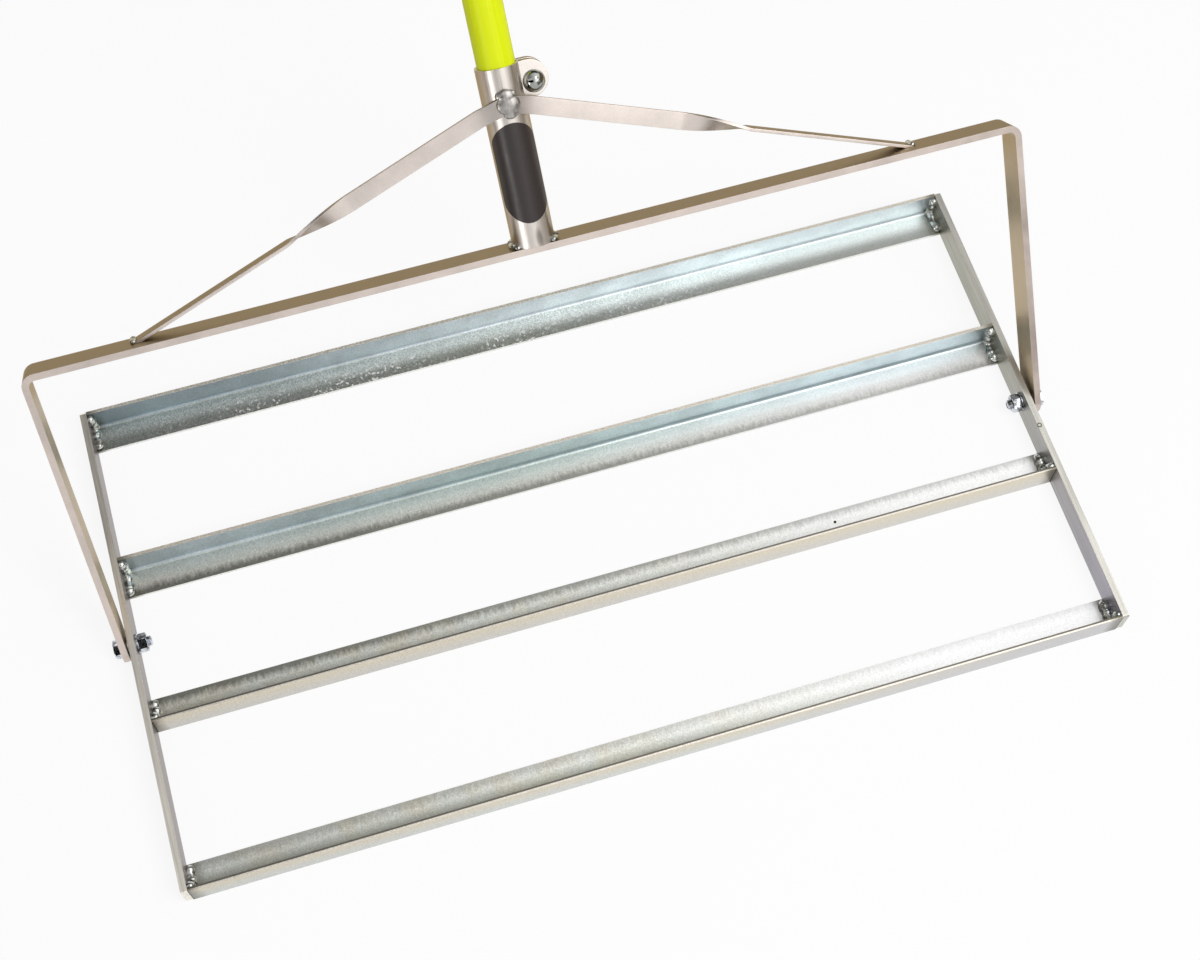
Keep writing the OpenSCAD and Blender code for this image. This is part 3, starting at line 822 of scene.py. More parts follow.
    # Painted shade and reflection inside the standing leg: blue, slate in the middle blades, deeper at
    # the left of the outer ones
    inside = add(
        tree,
        "ShaderNodeMapRange",
        {"Value": outward, "From Min": -0.7, "From Max": -0.1, "To Min": 1.0, "To Max": 0.0},
    )
    above = add(
        tree,
        "ShaderNodeMapRange",
        {"Value": at.outputs["Z"], "From Min": s.blade_t * 0.95, "From Max": s.blade_t * 1.1},
    )
    inside = add(tree, "ShaderNodeMath", {0: inside, 1: above}, operation="MULTIPLY")
    slate = add(
        tree,
        "ShaderNodeMapRange",
        {"Value": at.outputs["X"], "From Min": -0.4, "From Max": -0.1, "To Min": 0.2, "To Max": 1.0},
    )
    slate = add(tree, "ShaderNodeMath", {0: slate, 1: is_mid}, operation="MULTIPLY")
    inner = add(tree, "ShaderNodeMix", {0: slate, 6: c.zinc_blue_inside_shade, 7: c.zinc_slate_inside_shade}, data_type="RGBA")
    deep = add(
        tree,
        "ShaderNodeMapRange",
        {"Value": at.outputs["X"], "From Min": -0.45, "From Max": -0.05, "To Min": 1.0, "To Max": 0.0},
    )
    deep = add(tree, "ShaderNodeMath", {0: deep, 1: not_mid}, operation="MULTIPLY")
    inner = add(tree, "ShaderNodeMix", {0: deep, 6: inner, 7: c.zinc_deep_inside_shade}, data_type="RGBA")
    cloudy = add(
        tree,
        "ShaderNodeMapRange",
        {"Value": cloud, "From Min": 0.35, "From Max": 0.65, "To Min": 0.9, "To Max": 1.14},
    )
    inner = add(
        tree, "ShaderNodeMix", {0: 1.0, 6: inner, 7: cloudy}, data_type="RGBA", blend_type="MULTIPLY"
    )
    tint = add(tree, "ShaderNodeMix", {0: inside, 6: tint, 7: inner}, data_type="RGBA")
    # Outside: a painted reflection, warm at the top and cool at the ground, greyer to the right on the
    # outer blades, and painted shade that makes it darker towards the left end
    height = add(
        tree,
        "ShaderNodeMapRange",
        {"Value": at.outputs["Z"], "From Min": s.blade_leg * 0.25, "From Max": s.blade_leg * 0.9},
    )
    low = add(tree, "ShaderNodeMix", {0: is_mid, 6: c.zinc_cool_low_reflection, 7: c.zinc_beige_low_reflection}, data_type="RGBA")
    outer = add(tree, "ShaderNodeMix", {0: height, 6: low, 7: c.zinc_cream_patch_and_reflection}, data_type="RGBA")
    grey_end = add(
        tree,
        "ShaderNodeMapRange",
        {"Value": at.outputs["X"], "From Min": 0.05, "From Max": 0.4, "To Min": 0.0, "To Max": 0.85},
    )
    grey_end = add(tree, "ShaderNodeMath", {0: grey_end, 1: not_mid}, operation="MULTIPLY")
    outer = add(tree, "ShaderNodeMix", {0: grey_end, 6: outer, 7: c.zinc_grey}, data_type="RGBA")
    # Painted shade: darker towards the left end
    left_end_shade = add(
        tree,
        "ShaderNodeMapRange",
        {"Value": at.outputs["X"], "From Min": -0.45, "From Max": 0.1, "To Min": 0.86, "To Max": 1.0},
    )
    outer = add(
        tree, "ShaderNodeMix", {0: 1.0, 6: outer, 7: left_end_shade}, data_type="RGBA", blend_type="MULTIPLY"
    )
    outside = add(tree, "ShaderNodeMapRange", {"Value": outward, "From Min": 0.4, "From Max": 0.85})
    tint = add(tree, "ShaderNodeMix", {0: outside, 6: tint, 7: outer}, data_type="RGBA")
    # Pale yellow on the thin top edges
    thin_edge = add(
        tree,
        "ShaderNodeMapRange",
        {
            "Value": at.outputs["Z"],
            "From Min": s.blade_leg - 0.7 * MM,
            "From Max": s.blade_leg - 0.2 * MM,
        },
    )
    tint = add(tree, "ShaderNodeMix", {0: thin_edge, 6: tint, 7: c.zinc_tan}, data_type="RGBA")
    # A painted shade line on the thin edges of the two front blades: 1.6 mm of the top and 2.7 mm down
    # inside
    line = add(
        tree,
        "ShaderNodeMapRange",
        {"Value": from_back, "From Min": s.blade_t - 1.9 * MM, "From Max": s.blade_t - 1.4 * MM},
    )
    high = add(
        tree,
        "ShaderNodeMapRange",
        {
            "Value": at.outputs["Z"],
            "From Min": s.blade_leg - 3 * MM,
            "From Max": s.blade_leg - 2.5 * MM,
        },
    )
    line = add(tree, "ShaderNodeMath", {0: line, 1: high}, operation="MULTIPLY")
    line = add(tree, "ShaderNodeMath", {0: line, 1: in_front}, operation="MULTIPLY")
    line = add(tree, "ShaderNodeMath", {0: line, 1: 0.85}, operation="MULTIPLY")
    tint = add(tree, "ShaderNodeMix", {0: line, 6: tint, 7: c.zinc_line_and_edge_shade}, data_type="RGBA")
    # Dull streaks 2.6 mm wide at the toes of the middle and front blades, longest on the left
    long_way = add(
        tree,
        "ShaderNodeMapping",
        {"Vector": place.outputs["Object"], "Scale": (1 / (2.6 * MM), 1 / (9 * MM), 1 / (9 * MM))},
    )
    streak = add(
        tree, "ShaderNodeTexNoise", {"Vector": long_way, "Scale": 1.0, "Detail": 2.0, "Roughness": 0.6}
    )
    along_head = add(
        tree,
        "ShaderNodeMapRange",
        {"Value": at.outputs["X"], "From Min": -0.35, "From Max": 0.35, "To Min": 1.0, "To Max": 0.5},
    )
    reach = add(
        tree, "ShaderNodeMath", {0: along_head, 1: -4 * MM, 2: s.blade_leg}, operation="MULTIPLY_ADD"
    )
    reach = add(tree, "ShaderNodeMath", {0: streak, 1: -11 * MM, 2: reach}, operation="MULTIPLY_ADD")
    past = add(tree, "ShaderNodeMath", {0: from_back, 1: reach}, operation="SUBTRACT")
    band = add(
        tree,
        "ShaderNodeMapRange",
        {"Value": past, "From Min": -1 * MM, "From Max": 6 * MM, "To Min": 0.0, "To Max": 0.8},
    )
    band = add(tree, "ShaderNodeMath", {0: band, 1: flat_leg}, operation="MULTIPLY")
    band = add(tree, "ShaderNodeMath", {0: band, 1: along_head}, operation="MULTIPLY")
    on_front = add(tree, "ShaderNodeMath", {0: in_front, 1: 0.5}, operation="MULTIPLY")
    marked = add(tree, "ShaderNodeMath", {0: is_mid, 1: on_front}, operation="MAXIMUM")
    band = add(tree, "ShaderNodeMath", {0: band, 1: marked}, operation="MULTIPLY")
    tint = add(tree, "ShaderNodeMix", {0: band, 6: tint, 7: c.zinc_dark}, data_type="RGBA")
    # White specks of oxide in a 3.6 mm pattern on the rear blade's flat leg, most on its left half
    speck = add(
        tree,
        "ShaderNodeTexNoise",
        {"Vector": place.outputs["Object"], "Scale": 1 / (3.6 * MM), "Detail": 1.0, "Roughness": 0.6},
    )
    speck = add(tree, "ShaderNodeMapRange", {"Value": speck, "From Min": 0.58, "From Max": 0.64})
    cluster = add(tree, "ShaderNodeMapRange", {"Value": cloud, "From Min": 0.4, "From Max": 0.55})
    speck = add(tree, "ShaderNodeMath", {0: speck, 1: cluster}, operation="MULTIPLY")
    near_toe = add(
        tree, "ShaderNodeMapRange", {"Value": from_back, "From Min": 13 * MM, "From Max": 24 * MM}
    )
    on_rear = add(tree, "ShaderNodeMath", {0: at.outputs["Y"], 1: past_mid}, operation="GREATER_THAN")
    on_rear = add(tree, "ShaderNodeMath", {0: on_rear, 1: flat_leg}, operation="MULTIPLY")
    weathered = add(tree, "ShaderNodeMath", {0: on_rear, 1: near_toe}, operation="MULTIPLY")
    fading = add(
        tree,
        "ShaderNodeMapRange",
        {"Value": at.outputs["X"], "From Min": 0.0, "From Max": 0.35, "To Min": 1.0, "To Max": 0.8},
    )
    weathered = add(tree, "ShaderNodeMath", {0: weathered, 1: fading}, operation="MULTIPLY")
    tint = add(tree, "ShaderNodeMix", {0: weathered, 6: tint, 7: c.zinc_dull}, data_type="RGBA")
    to_left = add(
        tree,
        "ShaderNodeMapRange",
        {"Value": at.outputs["X"], "From Min": 0.0, "From Max": 0.3, "To Min": 0.85, "To Max": 0.0},
    )
    speck = add(tree, "ShaderNodeMath", {0: speck, 1: to_left}, operation="MULTIPLY")
    past_end = add(
        tree,
        "ShaderNodeMapRange",
        {"Value": at.outputs["X"], "From Min": -0.4, "From Max": -0.27, "To Min": 0.1, "To Max": 0.9},
    )
    speck = add(tree, "ShaderNodeMath", {0: speck, 1: past_end}, operation="MULTIPLY")
    speck = add(tree, "ShaderNodeMath", {0: speck, 1: on_rear}, operation="MULTIPLY")
    outer_half = add(
        tree, "ShaderNodeMapRange", {"Value": from_back, "From Min": 10 * MM, "From Max": 19 * MM}
    )
    speck = add(tree, "ShaderNodeMath", {0: speck, 1: outer_half}, operation="MULTIPLY")
    # Heat tint about 14 mm wide at the welds, with an uneven edge, and a dark joint line outside
    from_end = add(tree, "ShaderNodeMath", {0: at.outputs["X"]}, operation="ABSOLUTE")
    uneven = add(
        tree,
        "ShaderNodeMath",
        {0: cloud, 1: 14 * MM, 2: s.plate_face - 21 * MM},
        operation="MULTIPLY_ADD",
    )
    to_weld = add(tree, "ShaderNodeMath", {0: from_end, 1: uneven}, operation="SUBTRACT")
    heat = add(
        tree,
        "ShaderNodeMapRange",
        {"Value": to_weld, "From Min": 0.0, "From Max": 10 * MM, "To Min": 0.0, "To Max": 0.7},
    )
    tint = add(tree, "ShaderNodeMix", {0: heat, 6: tint, 7: c.heat}, data_type="RGBA")
    joint = add(
        tree,
        "ShaderNodeMapRange",
        {"Value": from_end, "From Min": s.plate_face - 1.3 * MM, "From Max": s.plate_face - 0.7 * MM},
    )
    joint = add(tree, "ShaderNodeMath", {0: joint, 1: outside}, operation="MULTIPLY")
    # A dot 3 mm across on the front middle blade
    dot_at = (229.5 * MM, -66.2 * MM, s.blade_t)
    from_dot = add(
        tree, "ShaderNodeVectorMath", {0: place.outputs["Object"], 1: dot_at}, operation="DISTANCE"
    )
    dot = add(tree, "ShaderNodeMath", {0: from_dot, 1: 1.5 * MM}, operation="LESS_THAN")
    dark = add(tree, "ShaderNodeMath", {0: joint, 1: dot}, operation="MAXIMUM")
    tint = add(tree, "ShaderNodeMix", {0: dark, 6: tint, 7: c.zinc_line_and_edge_shade}, data_type="RGBA")
    # The sparkle is strongest on the rear blade's left half and faint at the right end
    faint = add(
        tree,
        "ShaderNodeMapRange",
        {"Value": at.outputs["X"], "From Min": 0.0, "From Max": 0.3, "To Min": 1.0, "To Max": 0.55},
    )
    coarse = add(tree, "ShaderNodeMath", {0: on_rear, 1: to_left}, operation="MULTIPLY")
    coarse = add(tree, "ShaderNodeMath", {0: coarse, 1: faint}, operation="ADD")
    sparkle = add(tree, "ShaderNodeMath", {0: sparkle, 1: coarse}, operation="POWER")
    tint = add(
        tree, "ShaderNodeMix", {0: 1.0, 6: tint, 7: sparkle}, data_type="RGBA", blend_type="MULTIPLY"
    )
    tint = add(tree, "ShaderNodeMix", {0: speck, 6: tint, 7: c.oxide}, data_type="RGBA")
    rough = add(
        tree,
        "ShaderNodeMapRange",
        {"Value": grit, "From Min": 0.2, "From Max": 0.8, "To Min": 0.28, "To Max": 0.44},
    )
    rough = add(tree, "ShaderNodeMath", {0: thin_edge, 1: 0.12, 2: rough}, operation="MULTIPLY_ADD")
    bare = add(tree, "ShaderNodeMath", {0: 1.0, 1: speck}, operation="SUBTRACT")
    bump = add(tree, "ShaderNodeBump", {"Strength": 0.25, "Distance": 0.06 * MM, "Height": grit})
    shader = add(
        tree,
        "ShaderNodeBsdfPrincipled",
        {"Base Color": tint, "Metallic": bare, "Roughness": rough, "Normal": bump},
    )
    done(tree, shader)
    return finish


def zinc_on_plate():
    """Bright zinc plate on flat bar."""
    # The same plate on sawn flat bar: wide faces with long rolling marks and a painted reflection that
    # is lilac-grey where they look to the right and olive-grey to mauve where they look to the left,
    # sawn edges that are pale tan on the left bar and duller on the right one, and one small ring on the
    # right bar's top edge.
    finish, tree = new_finish("zinc_plated_flat_bar")
    s, c = sizes(), colours()
    place = add(tree, "ShaderNodeTexCoord")
    facing = add(tree, "ShaderNodeSeparateXYZ", {0: place.outputs["Normal"]})
    grit = add(
        tree,
        "ShaderNodeTexNoise",
        {"Vector": place.outputs["Object"], "Scale": 1 / (0.9 * MM), "Detail": 2.0, "Roughness": 0.6},
    )
    long_way = add(
        tree,
        "ShaderNodeMapping",
        {"Vector": place.outputs["Object"], "Scale": (1 / (2 * MM), 1 / (70 * MM), 1 / (2.5 * MM))},
    )
    rolling = add(tree, "ShaderNodeTexNoise", {"Vector": long_way, "Scale": 1.0, "Detail": 3.0})
    wide = add(tree, "ShaderNodeMath", {0: facing.outputs["X"]}, operation="ABSOLUTE")
    on_wide = add(tree, "ShaderNodeMapRange", {"Value": wide, "From Min": 0.4, "From Max": 0.85})
    at = add(tree, "ShaderNodeSeparateXYZ", {0: place.outputs["Object"]})
    # Painted reflection by which way a wide face looks
    to_front = add(
        tree,
        "ShaderNodeMapRange",
        {"Value": at.outputs["Y"], "From Min": -0.21, "From Max": 0.05, "To Min": 1.0, "To Max": 0.0},
    )
    reflection_looking_left = add(
        tree, "ShaderNodeMix", {0: to_front, 6: c.zinc_olive_reflection, 7: c.zinc_mauve_reflection}, data_type="RGBA"
    )
    looks_right = add(
        tree, "ShaderNodeMath", {0: facing.outputs["X"], 1: 0.0}, operation="GREATER_THAN"
    )
    faces = add(
        tree, "ShaderNodeMix", {0: looks_right, 6: reflection_looking_left, 7: c.zinc_lilac_reflection}, data_type="RGBA"
    )
    on_right = add(tree, "ShaderNodeMath", {0: at.outputs["X"], 1: 0.0}, operation="GREATER_THAN")
    sawn = add(tree, "ShaderNodeMix", {0: on_right, 6: c.zinc_tan, 7: c.zinc_sawn}, data_type="RGBA")
    tint = add(tree, "ShaderNodeMix", {0: on_wide, 6: sawn, 7: faces}, data_type="RGBA")
    shade = add(
        tree,
        "ShaderNodeMapRange",
        {"Value": rolling, "From Min": 0.3, "From Max": 0.7, "To Min": 0.82, "To Max": 1.12},
    )
    tint = add(
        tree, "ShaderNodeMix", {0: 1.0, 6: tint, 7: shade}, data_type="RGBA", blend_type="MULTIPLY"
    )
    # A ring 5 mm across
    ring_at = (s.head_w / 2 - 4.5 * MM, -36.3 * MM, s.blade_leg)
    reach = add(
        tree, "ShaderNodeVectorMath", {0: place.outputs["Object"], 1: ring_at}, operation="DISTANCE"
    )
    on_ring = add(tree, "ShaderNodeMath", {0: reach, 1: 2 * MM, 2: 0.6 * MM}, operation="COMPARE")
    tint = add(tree, "ShaderNodeMix", {0: on_ring, 6: tint, 7: c.zinc_dark}, data_type="RGBA")
    rough = add(
        tree,
        "ShaderNodeMapRange",
        {"Value": grit, "From Min": 0.2, "From Max": 0.8, "To Min": 0.3, "To Max": 0.45},
    )
    bump = add(tree, "ShaderNodeBump", {"Strength": 0.25, "Distance": 0.06 * MM, "Height": rolling})
    shader = add(
        tree,
        "ShaderNodeBsdfPrincipled",
        {"Base Color": tint, "Metallic": 1.0, "Roughness": rough, "Normal": bump},
    )
    done(tree, shader)
    return finish


def plated_weld():
    """Weld metal under plate."""
    # Smooth frozen ripples that mirror the light in small bright and dark patches, with painted shade
    # in the hollows between them.
    finish, tree = new_finish("plated_weld_metal")
    place = add(tree, "ShaderNodeTexCoord")
    ripple = add(
        tree,
        "ShaderNodeTexNoise",
        {"Vector": place.outputs["Object"], "Scale": 1 / (4.6 * MM), "Detail": 1.0, "Roughness": 0.4},
    )
    # Painted shade where the ripples are low
    hollow_shade = add(
        tree,
        "ShaderNodeMapRange",
        {"Value": ripple, "From Min": 0.36, "From Max": 0.52, "To Min": 0.85, "To Max": 0.0},
    )
    tint = add(
        tree,
        "ShaderNodeMix",
        {0: hollow_shade, 6: colours().weld, 7: colours().weld_hollow_shade},
        data_type="RGBA",
    )
    bump = add(tree, "ShaderNodeBump", {"Strength": 0.2, "Distance": 0.5 * MM, "Height": ripple})
    shader = add(
        tree,
        "ShaderNodeBsdfPrincipled",
        {"Base Color": tint, "Metallic": 1.0, "Roughness": 0.2, "Normal": bump},
    )
    done(tree, shader)
    return finish


def dressed_weld():
    """Weld metal brushed after welding."""
    # A dull grey smear with soft drag marks along the tube.
    finish, tree = new_finish("dressed_weld_metal")
    place = add(tree, "ShaderNodeTexCoord")
    drag = add(
        tree,
        "ShaderNodeMapping",
        {
            "Vector": place.outputs["Object"],
            "Rotation": (-sizes().yoke_angle, 0.0, 0.0),
            "Scale": (1 / (3 * MM), 1 / (9 * MM), 1 / (9 * MM)),
        },
    )
    smear = add(tree, "ShaderNodeTexNoise", {"Vector": drag, "Scale": 1.0, "Detail": 3.0})
    shade = add(
        tree,
        "ShaderNodeMapRange",
        {"Value": smear, "From Min": 0.35, "From Max": 0.65, "To Min": 0.68, "To Max": 1.15},
    )
    tint = add(
        tree,
        "ShaderNodeMix",
        {0: 1.0, 6: colours().dressed, 7: shade},
        data_type="RGBA",
        blend_type="MULTIPLY",
    )
    shader = add(
        tree, "ShaderNodeBsdfPrincipled", {"Base Color": tint, "Metallic": 1.0, "Roughness": 0.33}
    )
    done(tree, shader)
    return finish


def bright_fastener():
    """Bright zinc on turned and forged fasteners."""
    # Sharp and mottled: bright zinc with darker olive patches that are a painted dark reflection.
    finish, tree = new_finish("zinc_plated_fastener")
    place = add(tree, "ShaderNodeTexCoord")
    mark = add(
        tree,
        "ShaderNodeTexNoise",
        {"Vector": place.outputs["Object"], "Scale": 1 / (5 * MM), "Detail": 3.0},
    )
    # Painted dark reflection in patches
    patch = add(
        tree,
        "ShaderNodeMapRange",
        {"Value": mark, "From Min": 0.41, "From Max": 0.53, "To Min": 0.85, "To Max": 0.0},
    )
    tint = add(
        tree,
        "ShaderNodeMix",
        {0: patch, 6: colours().fastener, 7: colours().fastener_dark_reflection},
        data_type="RGBA",
    )
    shader = add(
        tree, "ShaderNodeBsdfPrincipled", {"Base Color": tint, "Metallic": 1.0, "Roughness": 0.16}
    )
    done(tree, shader)
    return finish


def satin_bar(name, forward_colour, heat=0.0):
    """Satin plated flat bar, with the colour of its front faces and its heat tint at the middle weld."""
    # Where it faces forward it is a light warm grey. The faces that look up get a painted brown
    # reflection, and the arms' wide faces a painted tan one.
    finish, tree = new_finish(name)
    s, c = sizes(), colours()
    place = add(tree, "ShaderNodeTexCoord")
    lay_flat = (-s.yoke_angle, 0.0, 0.0)
    facing = add(
        tree,
        "ShaderNodeMapping",
        {"Vector": place.outputs["Normal"], "Rotation": lay_flat},
        vector_type="NORMAL",
    )
    facing = add(tree, "ShaderNodeSeparateXYZ", {0: facing})
    forward = add(tree, "ShaderNodeMath", {0: facing.outputs["Z"]}, operation="ABSOLUTE")
    light = add(
        tree,
        "ShaderNodeMapRange",
        {"Value": forward, "From Min": 0.3, "From Max": 0.8},
        interpolation_type="SMOOTHSTEP",
    )
    flat = add(tree, "ShaderNodeMapping", {"Vector": place.outputs["Object"], "Rotation": lay_flat})
    cloud = add(
        tree,
        "ShaderNodeTexNoise",
        {"Vector": flat, "Scale": 1 / (30 * MM), "Detail": 4.0, "Roughness": 0.6},
    )
    # Mill grit of 1.1 mm, drawn coarser than real so that it shows
    grit = add(
        tree,
        "ShaderNodeTexNoise",
        {"Vector": flat, "Scale": 1 / (1.1 * MM), "Detail": 2.0, "Roughness": 0.6},
    )
    sideways = add(tree, "ShaderNodeMath", {0: facing.outputs["X"]}, operation="ABSOLUTE")
    on_arm = add(tree, "ShaderNodeMapRange", {"Value": sideways, "From Min": 0.6, "From Max": 0.95})
    # Painted reflection by which way a face looks: brown, tan on the arms, and light where it faces
    # forward
    tint = add(tree, "ShaderNodeMix", {0: on_arm, 6: c.bar_brown_reflection, 7: c.arm_tan_reflection}, data_type="RGBA")
    tint = add(tree, "ShaderNodeMix", {0: light, 6: tint, 7: forward_colour}, data_type="RGBA")
    # The heat tint fades out 40 mm from the middle
    at = add(tree, "ShaderNodeSeparateXYZ", {0: place.outputs["Object"]})
    from_weld = add(tree, "ShaderNodeMath", {0: at.outputs["X"]}, operation="ABSOLUTE")
    warmed = add(
        tree,
        "ShaderNodeMapRange",
        {"Value": from_weld, "From Min": 6 * MM, "From Max": 40 * MM, "To Min": heat, "To Max": 0.0},
        interpolation_type="SMOOTHSTEP",
    )
    tint = add(tree, "ShaderNodeMix", {0: warmed, 6: tint, 7: c.bar_heat}, data_type="RGBA")
    shade = add(
        tree,
        "ShaderNodeMapRange",
        {"Value": cloud, "From Min": 0.3, "From Max": 0.7, "To Min": 0.9, "To Max": 1.1},
    )
    fleck = add(
        tree,
        "ShaderNodeMapRange",
        {"Value": grit, "From Min": 0.3, "From Max": 0.7, "To Min": 0.95, "To Max": 1.05},
    )
    both = add(tree, "ShaderNodeMath", {0: shade, 1: fleck}, operation="MULTIPLY")
    tint = add(
        tree, "ShaderNodeMix", {0: 1.0, 6: tint, 7: both}, data_type="RGBA", blend_type="MULTIPLY"
    )
    rough = add(
        tree,
        "ShaderNodeMapRange",
        {"Value": cloud, "From Min": 0.3, "From Max": 0.7, "To Min": 0.34, "To Max": 0.46},
    )
    bump = add(tree, "ShaderNodeBump", {"Strength": 0.2, "Distance": 0.05 * MM, "Height": grit})
    shader = add(
        tree,
        "ShaderNodeBsdfPrincipled",
        {"Base Color": tint, "Metallic": 1.0, "Roughness": rough, "Normal": bump},
    )
    done(tree, shader)
    return finish


def satin_tube():
    """Satin plated welded tube."""
    # Faint long streaks along the tube, browner flanks that are a painted reflection, a thin worn seam
    # line above the braces and a dull mark at the foot.
    finish, tree = new_finish("satin_plated_tube")
    s, c = sizes(), colours()
    place = add(tree, "ShaderNodeTexCoord")
    flat = add(
        tree,
        "ShaderNodeMapping",
        {
            "Vector": place.outputs["Object"],
            "Location": (0.0, 0.0, s.pivot_z),
            "Rotation": (s.yoke_angle, 0.0, 0.0),
        },
        vector_type="TEXTURE",
    )
    at = add(tree, "ShaderNodeSeparateXYZ", {0: flat})
    long_way = add(
        tree,
        "ShaderNodeMapping",
        {"Vector": flat, "Scale": (1 / (1.5 * MM), 1 / (40 * MM), 1 / (1.5 * MM))},
    )
    streak = add(tree, "ShaderNodeTexNoise", {"Vector": long_way, "Scale": 1.0, "Detail": 3.0})
    facing = add(tree, "ShaderNodeSeparateXYZ", {0: place.outputs["Normal"]})
    # Painted reflection: browner where the tube faces sideways
    sideways = add(tree, "ShaderNodeMath", {0: facing.outputs["X"]}, operation="ABSOLUTE")
    flank_reflection = add(
        tree,
        "ShaderNodeMapRange",
        {"Value": sideways, "From Min": 0.75, "From Max": 0.97, "To Min": 0.0, "To Max": 0.6},
    )
    tint = add(tree, "ShaderNodeMix", {0: flank_reflection, 6: c.tube, 7: c.bar_brown_reflection}, data_type="RGBA")
    shade = add(
        tree,
        "ShaderNodeMapRange",
        {"Value": streak, "From Min": 0.3, "From Max": 0.7, "To Min": 0.94, "To Max": 1.05},
    )
    tint = add(
        tree, "ShaderNodeMix", {0: 1.0, 6: tint, 7: shade}, data_type="RGBA", blend_type="MULTIPLY"
    )
    # The seam is 1 mm wide, 1.5 mm left of the middle
    in_seam = add(
        tree, "ShaderNodeMath", {0: at.outputs["X"], 1: -1.5 * MM, 2: 0.5 * MM}, operation="COMPARE"
    )
    in_front = add(tree, "ShaderNodeMath", {0: at.outputs["Z"], 1: 0.0}, operation="GREATER_THAN")
    over_brace = add(
        tree,
        "ShaderNodeMath",
        {0: at.outputs["Y"], 1: s.socket_rim - s.brace_drop},
        operation="GREATER_THAN",
    )
    over_brace = add(tree, "ShaderNodeMath", {0: in_front, 1: over_brace}, operation="MULTIPLY")
    worn = add(
        tree,
        "ShaderNodeMapRange",
        {"Value": streak, "From Min": 0.4, "From Max": 0.6, "To Min": 0.0, "To Max": 0.6},
    )
    seam = add(tree, "ShaderNodeMath", {0: in_seam, 1: over_brace}, operation="MULTIPLY")
    seam = add(tree, "ShaderNodeMath", {0: seam, 1: worn}, operation="MULTIPLY")
    tint = add(tree, "ShaderNodeMix", {0: seam, 6: tint, 7: c.tube_seam}, data_type="RGBA")
    # A dull mark 6 mm wide runs 17 mm up from the foot
    mark_size = (3 * MM, 9 * MM, 1.0)
    mark = add(
        tree,
        "ShaderNodeMapping",
        {"Vector": flat, "Location": (3.5 * MM, s.yoke_reach + 8 * MM, 0.0), "Scale": mark_size},
        vector_type="TEXTURE",
    )
    from_mark = add(tree, "ShaderNodeVectorMath", {0: mark}, operation="LENGTH")
    marked = add(
        tree,
        "ShaderNodeMapRange",
        {"Value": from_mark, "From Min": 0.4, "From Max": 1.5, "To Min": 0.65, "To Max": 0.0},
        interpolation_type="SMOOTHSTEP",
    )
    marked = add(tree, "ShaderNodeMath", {0: marked, 1: in_front}, operation="MULTIPLY")
    tint = add(tree, "ShaderNodeMix", {0: marked, 6: tint, 7: c.tube_mark}, data_type="RGBA")
    rough = add(
        tree,
        "ShaderNodeMapRange",
        {"Value": streak, "From Min": 0.3, "From Max": 0.7, "To Min": 0.3, "To Max": 0.4},
    )
    shader = add(
        tree, "ShaderNodeBsdfPrincipled", {"Base Color": tint, "Metallic": 1.0, "Roughness": rough}
    )
    done(tree, shader)
    return finish


def polished_dome():
    """Polished steel."""
    # A smooth mirror, a little hazy, with the faintest unevenness left by the polishing.
    finish, tree = new_finish("polished_steel")
    place = add(tree, "ShaderNodeTexCoord")
    polish = add(
        tree,
        "ShaderNodeTexNoise",
        {"Vector": place.outputs["Object"], "Scale": 1 / (0.8 * MM), "Detail": 3.0},
    )
    rough = add(
        tree,
        "ShaderNodeMapRange",
        {"Value": polish, "From Min": 0.3, "From Max": 0.7, "To Min": 0.05, "To Max": 0.1},
    )
    shader = add(
        tree,
        "ShaderNodeBsdfPrincipled",
        {"Base Color": colours().dome, "Metallic": 1.0, "Roughness": rough},
    )
    done(tree, shader)
    return finish


def label_film():
    """Vinyl film, bare."""
    # Satin black film, faintly scuffed.
    finish, tree = new_finish("black_vinyl_film")
    place = add(tree, "ShaderNodeTexCoord")
    scuff = add(
        tree,
        "ShaderNodeTexNoise",
        {"Vector": place.outputs["Object"], "Scale": 1 / (7 * MM), "Detail": 5.0, "Roughness": 0.6},
    )
    worn = add(tree, "ShaderNodeMapRange", {"Value": scuff, "From Min": 0.45, "From Max": 0.75})
    tint = add(
        tree, "ShaderNodeMix", {0: worn, 6: colours().label, 7: colours().label_scuff}, data_type="RGBA"
    )
    rough = add(
        tree,
        "ShaderNodeMapRange",
        {"Value": scuff, "From Min": 0.3, "From Max": 0.7, "To Min": 0.3, "To Max": 0.42},
    )
    shader = add(tree, "ShaderNodeBsdfPrincipled", {"Base Color": tint, "Roughness": rough, "IOR": 1.5})
    done(tree, shader)
    return finish


